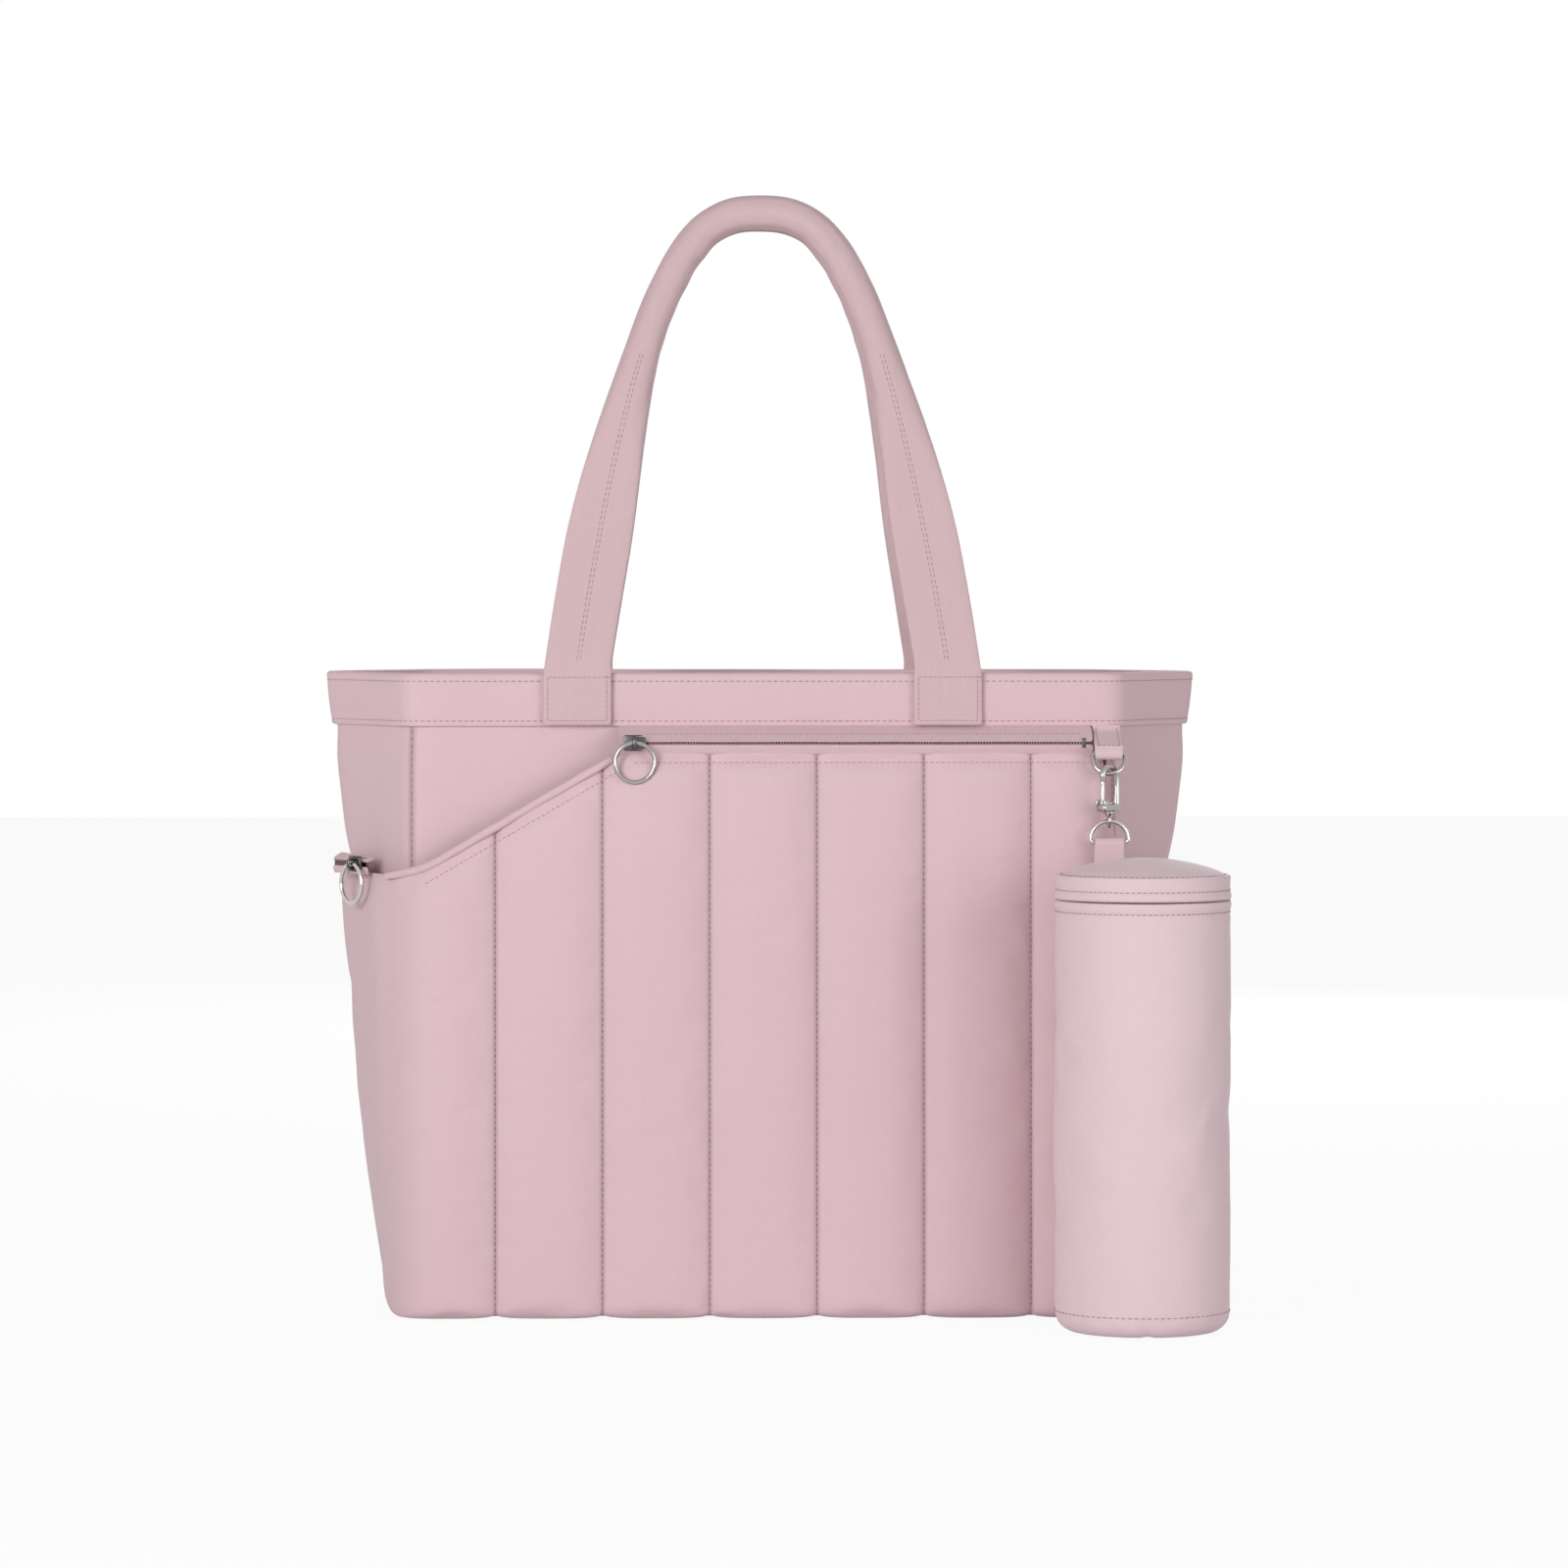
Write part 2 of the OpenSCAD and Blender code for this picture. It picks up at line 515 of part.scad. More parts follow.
// The tab is sewn to the pouch below its zip and stands off over it to the lower ring
low_tab_w = 15;
low_loop_r = low_wire + run + 1;
tab_off = 6.6;
web_t = 2.2;
reach = sqrt(pow(pouch_r, 2) - pow(clip_x - pouch_x, 2));
wall_y = pouch_y + reach;
sew_z = pouch_zip_z - 32;
bridge_z = pouch_zip_z - 14;
module pouch_tab() color(cloth_pink) difference() {
    translate([clip_x - low_tab_w / 2, 0, 0]) {
        translate([0, hook_y, low_bar]) rotate([0, 90, 0]) cylinder(r = low_loop_r, h = low_tab_w);
        rotate([90, 0, 90]) linear_extrude(low_tab_w) polygon([
            [wall_y - 4, sew_z], [wall_y + 3, sew_z], [wall_y + tab_off + web_t, bridge_z],
            [hook_y + low_loop_r - 0.2, low_bar - 0.5], [hook_y - low_loop_r + 0.6, low_bar - 1.5],
            [wall_y + tab_off, pouch_zip_z + 9], [wall_y + tab_off, bridge_z],
            [wall_y + 1, bridge_z - 9], [wall_y - 4, bridge_z - 9]
        ]);
    }
    at_pouch() cylinder(r = pouch_r + 0.1, h = pouch_h, $fn = 96);
    translate([clip_x - low_tab_w, hook_y, low_bar]) rotate([0, 90, 0]) cylinder(r = low_wire + run, h = 2 * low_tab_w);
}

round_r = 10;
ply = 0.1;
// Profile of a cup with a rounded bottom edge: outer radius, wall, floor height and rim height
module cup(r, t, z0, z1, round) rotate_extrude($fn = 96) difference() {
    union() {
        translate([0, z0]) square([r - round, z1 - z0]);
        translate([0, z0 + round]) square([r, z1 - z0 - round]);
        intersection() {
            translate([r - round, z0 + round]) circle(r = round);
            square([r, z1]);
        }
    }
    translate([0, z0 + t]) square([r - t - (round - t), z1 - z0]);
    translate([0, z0 + round]) square([r - t, z1 - z0]);
    intersection() {
        translate([r - round, z0 + round]) circle(r = round - t);
        square([r, z1]);
    }
}
zip_seam = 0.3;
body_top = pouch_zip_z - zip_seam;
module pouch_shell() color(cloth_pink) at_pouch() cup(pouch_r, pouch_skin, 0, body_top, round_r);
foam_r = pouch_r - pouch_skin - ply;
module pouch_insulation() color("white") at_pouch()
    cup(foam_r, pouch_foam, pouch_skin + ply, body_top - 0.5, round_r - pouch_skin - ply);
inner_r = foam_r - pouch_foam - ply;
inner_z = pouch_skin + pouch_foam + 2 * ply;
module pouch_lining() color(lining_grey) at_pouch()
    cup(inner_r, 0.6, inner_z, body_top - 1, round_r - pouch_skin - pouch_foam - 2 * ply);
module pouch_base_disc() color("dimgray") at_pouch()
    translate([0, 0, inner_z + 0.6 + ply]) cylinder(r = inner_r - 8, h = 1.6);

// The lid is a shallow dome: a straight side with a curved top
lid_z = pouch_zip_z + zip_seam;
dome = 9;
lid_side = pouch_h - dome - lid_z;
lid_round = 6;
module lid_profile(r, side, rise_h, round) {
    crown = (r * r + rise_h * rise_h) / (2 * rise_h);
    intersection() {
        translate([0, side + rise_h - crown]) circle(r = crown, $fn = 180);
        union() {
            square([r - round, side + rise_h]);
            square([r, side - round + 0.5]);
            intersection() {
                translate([r - round, side - round + 0.5]) circle(r = round);
                square([r, side + rise_h]);
            }
        }
    }
}
module pouch_lid() color(cloth_pink) at_pouch() translate([0, 0, lid_z]) rotate_extrude($fn = 96) difference() {
    lid_profile(pouch_r, lid_side, dome, lid_round);
    lid_profile(pouch_r - pouch_skin, lid_side - pouch_skin, dome, lid_round - pouch_skin);
}
module lid_foam() color("white") at_pouch() translate([0, 0, lid_z + 0.5])
    rotate_extrude($fn = 96) difference() {
        lid_profile(foam_r, lid_side - pouch_skin - ply - 0.5, dome, lid_round - pouch_skin - ply);
        translate([0, -1]) square([foam_r - pouch_foam, lid_side - pouch_skin - pouch_foam]);
    }

pull_az = 60;
pull_l = 11;
coil_ring_h = 2;
coil_out = 1.4;
module coil_ring(z) at_pouch() translate([0, 0, z]) rotate_extrude($fn = 96)
    translate([pouch_r + 0.05, 0]) square([coil_out, coil_ring_h]);
module pouch_lower_coil() color(cloth_side) coil_ring(body_top - coil_ring_h);
module pouch_upper_coil() color(cloth_side) coil_ring(lid_z);
slide_r = pouch_r + 0.05 + coil_out + 0.4;
module at_pull() at_pouch() rotate([0, 0, pull_az]) translate([slide_r, 0, pouch_zip_z]) children();
module pouch_zip_slider() color(gunmetal) at_pull() {
    translate([0, -4, -3]) cube([1, 8, 6]);
    for (s = [-1, 1]) translate([0.9, s > 0 ? 1.3 : -2.3, -0.8]) cube([1.4, 1, 1.6]);
}
module pouch_zip_pull() color(gunmetal) at_pull() {
    translate([1.75, -0.95, 0]) rotate([-90, 0, 0]) cylinder(r = 0.45, h = 1.9);
    translate([1.35, -0.9, -pull_l]) cube([0.8, 1.8, pull_l]);
}

front_panel();
back_panel();
left_gusset();
right_gusset();
base_panel();
base_board();
top_band();
main_lining();
lining_floor();
pocket_front();
pocket_left_wing();
pocket_right_wing();
pocket_floor();
pocket_lining();
mouth_binding();
front_zip_tapes();
front_zip_coils();
front_zip_stop();
front_zip_slider();
front_ring_pull();
side_zip_tape();
side_zip_coils();
side_zip_slider();
side_ring_pull();
front_handle_anchors();
rear_handle_anchors();
front_handle();
rear_handle();
front_handle_core();
rear_handle_core();
front_magnet();
rear_magnet();
clip_tab();
d_ring();
snap_hook_body();
hook_gate();
gate_pin();
gate_spring();
swivel_eye();
lower_ring();
pouch_tab();
pouch_shell();
pouch_insulation();
pouch_lining();
pouch_base_disc();
pouch_lid();
lid_foam();
pouch_lower_coil();
pouch_upper_coil();
pouch_zip_slider();
pouch_zip_pull();
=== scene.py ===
# Quilted tote with a zipped wrap-around pocket, rolled handles and a clip-on bottle pouch.
# Lengths are in millimetres until a mesh takes its points. +X right, -Y front, +Z up.
import bpy
import math
import numpy as np
from mathutils import Matrix, Vector, noise
from mathutils.bvhtree import BVHTree


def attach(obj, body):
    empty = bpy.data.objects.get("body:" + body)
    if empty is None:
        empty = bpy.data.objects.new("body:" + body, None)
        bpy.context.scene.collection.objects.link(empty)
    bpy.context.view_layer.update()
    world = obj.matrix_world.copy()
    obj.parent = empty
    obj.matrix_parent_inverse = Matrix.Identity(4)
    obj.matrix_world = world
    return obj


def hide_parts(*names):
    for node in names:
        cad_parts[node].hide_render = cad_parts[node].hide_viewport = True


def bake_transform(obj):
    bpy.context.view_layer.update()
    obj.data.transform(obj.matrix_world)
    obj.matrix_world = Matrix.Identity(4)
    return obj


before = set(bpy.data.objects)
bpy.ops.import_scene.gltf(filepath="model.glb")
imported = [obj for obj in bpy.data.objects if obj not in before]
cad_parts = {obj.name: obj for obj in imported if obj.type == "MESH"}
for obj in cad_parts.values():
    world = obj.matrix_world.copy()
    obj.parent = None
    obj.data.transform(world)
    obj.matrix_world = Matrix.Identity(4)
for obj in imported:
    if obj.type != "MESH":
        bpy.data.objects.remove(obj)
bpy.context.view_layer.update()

MM = 0.001
scene = bpy.context.scene
scene.view_settings.view_transform = "Standard"


# ---- Camera ----
def set_camera():
    data = bpy.data.cameras.new("camera")
    cam = bpy.data.objects.new("camera", data)
    scene.collection.objects.link(cam)
    data.sensor_fit = "HORIZONTAL"
    data.angle = math.radians(13.41)
    data.clip_end = 50
    cam.location = (-0.060, -3.595, 0.397)
    look = Vector((0.0108, -0.095, 0.2828)) - cam.location
    cam.rotation_euler = look.to_track_quat("-Z", "Y").to_euler()
    scene.camera = cam


# ---- Finishes ----
def srgb(r, g, b):
    return tuple(((c / 255 + 0.055) / 1.055) ** 2.4 for c in (r, g, b)) + (1,)


def shade(colour, share):
    return tuple(c * share for c in colour[:3]) + (1,)


def new_finish(name):
    mat = bpy.data.materials.new(name)
    mat.use_nodes = True
    return mat, mat.node_tree, mat.node_tree.nodes["Principled BSDF"]


def add(tree, kind, **values):
    node = tree.nodes.new(kind)
    for key, value in values.items():
        setattr(node, key, value)
    return node


def blotches(tree, coords, scale, detail=3):
    tex = add(tree, "ShaderNodeTexNoise")
    tex.inputs["Scale"].default_value = scale
    tex.inputs["Detail"].default_value = detail
    tree.links.new(coords, tex.inputs["Vector"])
    return tex.outputs["Fac"]


def math_node(tree, operation, a, b):
    node = add(tree, "ShaderNodeMath", operation=operation)
    for socket, value in ((node.inputs[0], a), (node.inputs[1], b)):
        if isinstance(value, (int, float)):
            socket.default_value = value
        else:
            tree.links.new(value, socket)
    return node.outputs[0]


def times(tree, a, b):
    return math_node(tree, "MULTIPLY", a, b)


def plus(tree, a, b):
    return math_node(tree, "ADD", a, b)


def mix_colour(tree, share, a, b):
    node = add(tree, "ShaderNodeMix", data_type="RGBA")
    for socket, value in ((node.inputs[0], share), (node.inputs[6], a), (node.inputs[7], b)):
        if isinstance(value, (int, float, tuple)):
            socket.default_value = value
        else:
            tree.links.new(value, socket)
    return node.outputs[2]


def threads(tree, uv, way, period_mm):
    wave = add(tree, "ShaderNodeTexWave", bands_direction=way)
    wave.inputs["Scale"].default_value = 2 * math.pi / (20 * period_mm * MM)
    wave.inputs["Distortion"].default_value = 0.6
    wave.inputs["Detail"].default_value = 1
    wave.inputs["Detail Scale"].default_value = 0.4
    tree.links.new(uv, wave.inputs["Vector"])
    return wave.outputs["Fac"]


def grained(tree, shader, height, strength, distance):
    lift = add(tree, "ShaderNodeBump")
    lift.inputs["Strength"].default_value = strength
    lift.inputs["Distance"].default_value = distance
    tree.links.new(height, lift.inputs["Height"])
    tree.links.new(lift.outputs["Normal"], shader.inputs["Normal"])


def cloth_finish(name, colour, thread_mm=0.9, bump=0.10, sheen=0.25, rough=0.78, crease=0.45):
    """Woven cloth: crossed threads, slubs, slow patches of tone, and painted shade in the creases at the seams."""
    mat, tree, shader = new_finish(name)
    place = add(tree, "ShaderNodeTexCoord")
    shader.inputs["Sheen Weight"].default_value = sheen
    shader.inputs["Sheen Roughness"].default_value = 0.45
    shader.inputs["Specular IOR Level"].default_value = 0.3
    soft = blotches(tree, place.outputs["Object"], 7)
    slub = blotches(tree, place.outputs["Object"], 420, 2)
    tone = mix_colour(tree, soft, shade(colour, 0.94), shade(colour, 1.05))
    tone = mix_colour(tree, times(tree, slub, 0.35), tone, shade(colour, 0.86))
    warp = threads(tree, place.outputs["UV"], "X", thread_mm)
    weft = threads(tree, place.outputs["UV"], "Y", thread_mm)
    weave = plus(tree, times(tree, warp, 0.5), times(tree, weft, 0.5))
    tone = mix_colour(tree, times(tree, weave, 0.10), tone, shade(colour, 0.70))
    # Painted shade: cloth marked by the crease attribute at the seams is darkened towards crease * 0.6 of its
    # colour.
    crease_shade = add(tree, "ShaderNodeAttribute", attribute_name="crease")
    crease_shade_share = times(tree, crease_shade.outputs["Fac"], 1 - crease)
    tone = mix_colour(tree, crease_shade_share, tone, shade(colour, crease * 0.6))
    tree.links.new(tone, shader.inputs["Base Color"])
    wear = plus(tree, times(tree, soft, 0.16), rough - 0.08)
    tree.links.new(wear, shader.inputs["Roughness"])
    rise = plus(tree, times(tree, weave, 0.7), times(tree, slub, 0.5))
    grained(tree, shader, rise, bump * 4, 0.00012)
    return mat


def metal_finish(name, colour, rough=0.2, tarnish=0.25):
    """Plated metal with faint clouds and a fine grain."""
    mat, tree, shader = new_finish(name)
    place = add(tree, "ShaderNodeTexCoord")
    shader.inputs["Metallic"].default_value = 1
    cloud = blotches(tree, place.outputs["Object"], 90)
    fine = blotches(tree, place.outputs["Object"], 1600, 2)
    tone = mix_colour(tree, times(tree, cloud, tarnish), colour, shade(colour, 0.5))
    tree.links.new(tone, shader.inputs["Base Color"])
    gloss = plus(tree, times(tree, cloud, 0.14), rough - 0.07)
    tree.links.new(gloss, shader.inputs["Roughness"])
    grained(tree, shader, fine, 0.12, 0.00005)
    return mat


def moulded_finish(name, colour, rough=0.45):
    mat, tree, shader = new_finish(name)
    place = add(tree, "ShaderNodeTexCoord")
    grain = blotches(tree, place.outputs["Object"], 1100, 2)
    cloud = blotches(tree, place.outputs["Object"], 40)
    tone = mix_colour(tree, cloud, shade(colour, 0.9), shade(colour, 1.08))
    tree.links.new(tone, shader.inputs["Base Color"])
    gloss = plus(tree, times(tree, grain, 0.15), rough)
    tree.links.new(gloss, shader.inputs["Roughness"])
    grained(tree, shader, grain, 0.25, 0.00005)
    return mat


PINK = srgb(219, 189, 195)
FINISH = {
    "shell": cloth_finish("shell_twill", PINK),
    "quilt": cloth_finish("quilt_twill", PINK),
    "handle": cloth_finish("handle_twill", srgb(209, 180, 184)),
    "pouch": cloth_finish("pouch_twill", srgb(227, 202, 208)),
    "web": cloth_finish("tab_webbing", srgb(222, 194, 199), thread_mm=1.4, bump=0.2),
    "lining": cloth_finish("lining_plain_weave", srgb(206, 192, 188), thread_mm=0.6, sheen=0.1),
    "thread": cloth_finish("sewing_thread", srgb(176, 142, 150), thread_mm=0.3, rough=0.7),
    "thread_dark": cloth_finish("seam_thread", srgb(150, 116, 124), thread_mm=0.3, rough=0.7),
    "coil": moulded_finish("zip_coil_nylon", srgb(198, 166, 173)),
    # Painted shade: a darker copy of the coil nylon, standing in for the shadow in the side zip's mouth.
    "coil_painted_shade": moulded_finish("side_coil_nylon_painted_shade", srgb(120, 92, 100)),
    "gunmetal": metal_finish("gunmetal_plate", srgb(98, 93, 95), 0.26),
    "ring": metal_finish("polished_gunmetal", srgb(172, 166, 166), 0.14),
    "bright": metal_finish("polished_nickel", srgb(205, 200, 198), 0.14),
}


# ---- Making and finishing meshes ----
def deselect():
    if bpy.context.mode != "OBJECT":
        bpy.ops.object.mode_set(mode="OBJECT")
    bpy.ops.object.select_all(action="DESELECT")


def choose(*pieces):
    deselect()
    for piece in pieces:
        piece.select_set(True)
    bpy.context.view_layer.objects.active = pieces[0]


def read_points(piece):
    co = np.empty(len(piece.data.vertices) * 3)
    piece.data.vertices.foreach_get("co", co)
    return co.reshape(-1, 3)


def write_points(piece, co):
    piece.data.vertices.foreach_set("co", np.asarray(co, float).ravel())
    piece.data.update()


def run_modifier(piece, kind, **values):
    choose(piece)
    mod = piece.modifiers.new(kind.title(), kind)
    for key, value in values.items():
        setattr(mod, key, value)
    bpy.ops.object.modifier_apply(modifier=mod.name)


def thicken(piece, wall, offset=-1.0):
    run_modifier(piece, "SOLIDIFY", thickness=wall * MM, offset=offset, use_even_offset=False)


def round_off(piece, levels=1):
    run_modifier(piece, "SUBSURF", levels=levels, render_levels=levels)


def bevel(piece, width, segments=3):
    run_modifier(piece, "BEVEL", width=width * MM, segments=segments, limit_method="ANGLE",
                 angle_limit=math.radians(35))


def edit_all(piece, *steps):
    choose(piece)
    bpy.ops.object.mode_set(mode="EDIT")
    bpy.ops.mesh.select_all(action="SELECT")
    for step in steps:
        step()
    bpy.ops.object.mode_set(mode="OBJECT")


def tidy_mesh(piece):
    edit_all(
        piece,
        lambda: bpy.ops.mesh.remove_doubles(threshold=0.00002),
        lambda: bpy.ops.mesh.normals_make_consistent(inside=False),
    )


def face_towards(piece, way):
    total = Vector((0, 0, 0))
    for poly in piece.data.polygons:
        total += poly.normal * poly.area
    if total.dot(Vector(way)) < 0:
        edit_all(piece, lambda: bpy.ops.mesh.flip_normals())


def net(name, pts, close=False, crease=None, uv=None):
    """A piece of cloth through rows x columns of points, with a UV map in metres."""
    pts = np.asarray(pts, float)
    rows, cols = pts.shape[:2]
    deselect()
    bpy.ops.mesh.primitive_grid_add(x_subdivisions=cols - 1, y_subdivisions=rows - 1, size=1)
    piece = bpy.context.object
    piece.name = name
    write_points(piece, pts.reshape(-1, 3) * MM)
    if uv is None:
        across = np.linalg.norm(np.diff(pts[rows // 2], axis=0), axis=1)
        along = np.linalg.norm(np.diff(pts[:, cols // 2], axis=0), axis=1)
        u, v = np.meshgrid(np.r_[0, np.cumsum(across)], np.r_[0, np.cumsum(along)])
        uv = np.stack([u, v], -1)
    uv = uv.reshape(-1, 2) * MM
    ends = np.empty(len(piece.data.loops), int)
    piece.data.loops.foreach_get("vertex_index", ends)
    piece.data.uv_layers[0].data.foreach_set("uv", uv[ends].ravel())
    # The crease attribute is the mask for the cloth finish's painted shade at the seams.
    if crease is not None:
        layer = piece.data.attributes.new("crease", "FLOAT", "POINT")
        layer.data.foreach_set("value", np.asarray(crease, float).ravel())
    if close:
        tidy_mesh(piece)
    return piece


def lathe(name, profile, steps=96, centre=(0, 0, 0), dent=None):
    """A closed profile of (radius, height) turned about Z."""
    turn = np.linspace(0, 2 * math.pi, steps + 1)
    pts = np.array([[(r * math.cos(a), r * math.sin(a), z) for a in turn] for r, z in profile])
    if dent is not None:
        pts = dent(pts)
    pts = pts + np.array(centre)
    return net(name, pts, close=True)


def finish(piece, finish_name, body, stands_for=(), smooth=40):
    piece.data.materials.clear()
    piece.data.materials.append(FINISH[finish_name])
    choose(piece)
    bpy.ops.object.shade_smooth_by_angle(angle=math.radians(smooth))
    if body is not None:
        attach(piece, body)
    if stands_for:
        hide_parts(*stands_for)
    return piece


def merged(name, pieces):
    choose(*pieces)
    if len(pieces) > 1:
        bpy.ops.object.join()
    piece = bpy.context.object
    piece.name = name
    piece.data.name = name
    return piece


def guide_line(name, points, radii=None, closed=False):
    """A polyline curve through points."""
    data = bpy.data.curves.new(name, "CURVE")
    data.dimensions = "3D"
    line = data.splines.new("POLY")
    line.points.add(len(points) - 1)
    for i, p in enumerate(points):
        line.points[i].co = (p[0] * MM, p[1] * MM, p[2] * MM, 1)
        line.points[i].radius = radii[i] if radii is not None else 1
    line.use_cyclic_u = closed
    guide = bpy.data.objects.new(name, data)
    scene.collection.objects.link(guide)
    return guide


def repeat_along(bead, points, pitch):
    """Repeats a small piece along a polyline and bends the row onto it."""
    guide = guide_line("row_path", points)
    run_modifier(bead, "ARRAY", fit_type="FIT_CURVE", curve=guide, use_relative_offset=False,
                 use_constant_offset=True, constant_offset_displace=(pitch * MM, 0, 0))
    run_modifier(bead, "CURVE", object=guide, deform_axis="POS_X")
    bpy.data.objects.remove(guide)
    return bead


def wire(name, points, radius, radii=None, closed=False, sides=10):
    """A round wire through points: a swept circle, made a mesh."""
    piece = guide_line(name, points, radii, closed)
    piece.data.bevel_depth = radius * MM
    piece.data.bevel_resolution = sides // 2
    piece.data.use_fill_caps = True
    choose(piece)
    bpy.ops.object.convert(target="MESH")
    piece = bpy.context.object
    tidy_mesh(piece)
    return piece


def placed(piece, axes, origin):
    """Puts a piece made about the origin into the frame with these three axes."""
    m = Matrix([[axes[0][i], axes[1][i], axes[2][i], origin[i] * MM] for i in range(3)] + [[0, 0, 0, 1]])
    piece.data.transform(m)
    return piece


def block(name, size, at, round_by=0.3, taper=1.0, segments=3):
    """A bevelled block; taper narrows its +X end."""
    deselect()
    bpy.ops.mesh.primitive_cube_add(size=1)
    piece = bpy.context.object
    piece.name = name
    co = read_points(piece)
    co[:, 1] *= np.where(co[:, 0] > 0, taper, 1.0)
    write_points(piece, co * np.array(size) * MM + np.array(at) * MM)
    bevel(piece, round_by, segments)
    return piece


def bent(points, steps=10, rounds=None):
    """Rounds a path's corners with short curves."""
    out = [points[0]]
    for i in range(1, len(points) - 1):
        a, b, c = (np.array(points[k], float) for k in (i - 1, i, i + 1))
        r = (rounds[i] if isinstance(rounds, dict) and i in rounds else rounds) or 4
        la, lc = np.linalg.norm(a - b), np.linalg.norm(c - b)
        p = b + (a - b) / la * min(r, la * 0.48)
        q = b + (c - b) / lc * min(r, lc * 0.48)
        for k in range(steps + 1):
            t = k / steps
            out.append((1 - t) ** 2 * p + 2 * t * (1 - t) * b + t * t * q)
    out.append(points[-1])
    return np.array(out, float)


def distances(path):
    """How far along a path each of its points is."""
    return np.r_[0, np.cumsum(np.linalg.norm(np.diff(path, axis=0), axis=1))]


def even(path, count):
    """The same path with its points spread evenly."""
    path = np.asarray(path, float)
    d = distances(path)
    t = np.linspace(0, d[-1], count)
    return np.stack([np.interp(t, d, path[:, k]) for k in range(path.shape[1])], 1)


# ---- Stitching: one stitch, repeated along a line ----
stitch_rows = {}


def stitch_line(body, points, pitch=3.3, length=2.3, width=0.55, thread="thread"):
    """Sews a row of stitches along points that lie on the cloth."""
    deselect()
    bpy.ops.mesh.primitive_uv_sphere_add(segments=6, ring_count=4, radius=0.5)
    stitch = bpy.context.object
    co = read_points(stitch)
    co = co[:, [2, 0, 1]] * np.array([length, width, width]) * MM
    co[:, 0] += length * MM / 2
    write_points(stitch, co)
    tidy_mesh(stitch)
    stitch_rows.setdefault((body, thread), []).append(repeat_along(stitch, points, pitch))


def finish_stitches():
    for (body, thread), rows in stitch_rows.items():
        piece = merged(f"{thread}_rows_{body}", rows)
        finish(piece, thread, body)


def lay_near(piece, points, way, reach):
    """Drops points along a direction onto a finished piece, from no further off than reach."""
    tree = BVHTree.FromPolygons([Vector(c) for c in read_points(piece)],
                                [tuple(p.vertices) for p in piece.data.polygons])
    way = Vector(way).normalized()
    hits = [tree.ray_cast(Vector(p) * MM, way, reach * MM)[0] for p in points]
    return np.array([tuple(hit / MM) for hit in hits if hit is not None])


def sew_front(body, piece, points, **how):
    """Sews a row on the front of a piece, where points (x, z) meet it."""
    stitch_line(body, lay_near(piece, [(x, -150, z) for x, z in points], (0, 1, 0), 90), **how)


# ---- Padding, blown up as cloth ----
def puff(piece, hold, pressure, cap, slack=0.0, stiff=8.0, frames=20):
    """Blows the free cloth out by a cloth run; hold is 1 where it is sewn down."""
    rest = read_points(piece).copy()
    group = piece.vertex_groups.new(name="sewn")
    for i, w in enumerate(hold):
        group.add([i], float(w), "REPLACE")
    cloth = piece.modifiers.new("Cloth", "CLOTH")
    s = cloth.settings
    s.quality = 5
    s.mass = 0.05
    s.tension_stiffness = stiff
    s.compression_stiffness = stiff
    s.shear_stiffness = stiff / 2
    s.bending_stiffness = 0.3
    s.shrink_min = -slack
    s.use_pressure = True
    s.uniform_pressure_force = pressure
    s.vertex_group_mass = "sewn"
    s.effector_weights.gravity = 0
    cloth.collision_settings.use_collision = False
    cloth.collision_settings.use_self_collision = False
    cloth.point_cache.frame_start = 1
    cloth.point_cache.frame_end = frames
    for f in range(1, frames + 1):
        scene.frame_set(f)
    choose(piece)
    bpy.ops.object.modifier_apply(modifier=cloth.name)
    scene.frame_set(1)
    piece.vertex_groups.clear()
    moved = read_points(piece) - rest
    size = np.linalg.norm(moved, axis=1)
    share = np.where(size > cap * MM, cap * MM / np.maximum(size, 1e-9), 1)
    write_points(piece, rest + moved * share[:, None])


def ripple(p, scale, seed=0.0):
    return noise.noise(Vector((p[0] / scale + seed, p[1] / scale - seed, p[2] / scale + 2 * seed)))


# ---- The bag's shape ----
def ease(a, b, v):
    t = min(1, max(0, (v - a) / (b - a)))
    return t * t * (3 - 2 * t)


BAG_H = 340
RIM_FLARE = 45
BAND_Z = 312
LEAN = math.atan(11 / 340)
SIN, COS = math.sin(LEAN), math.cos(LEAN)
FRONT_AXES = ((1, 0, 0), (0, SIN, COS), (0, -COS, SIN))
SIDE_COUNTS = [16, 8, 8, 30, 8, 8, 16]
ROUND_COUNT = 6


def half_w(z):
    return 190 - 4 * z / BAG_H


def half_d(z):
    return 78 - 11 * z / BAG_H


def flare(z):
    return 4 + RIM_FLARE * z / BAG_H


def on_front(x, v, w):
    """A point on the front wall: across, up the wall, and out of it."""
    return (x, -78 + v * SIN - w * COS, v * COS + w * SIN)


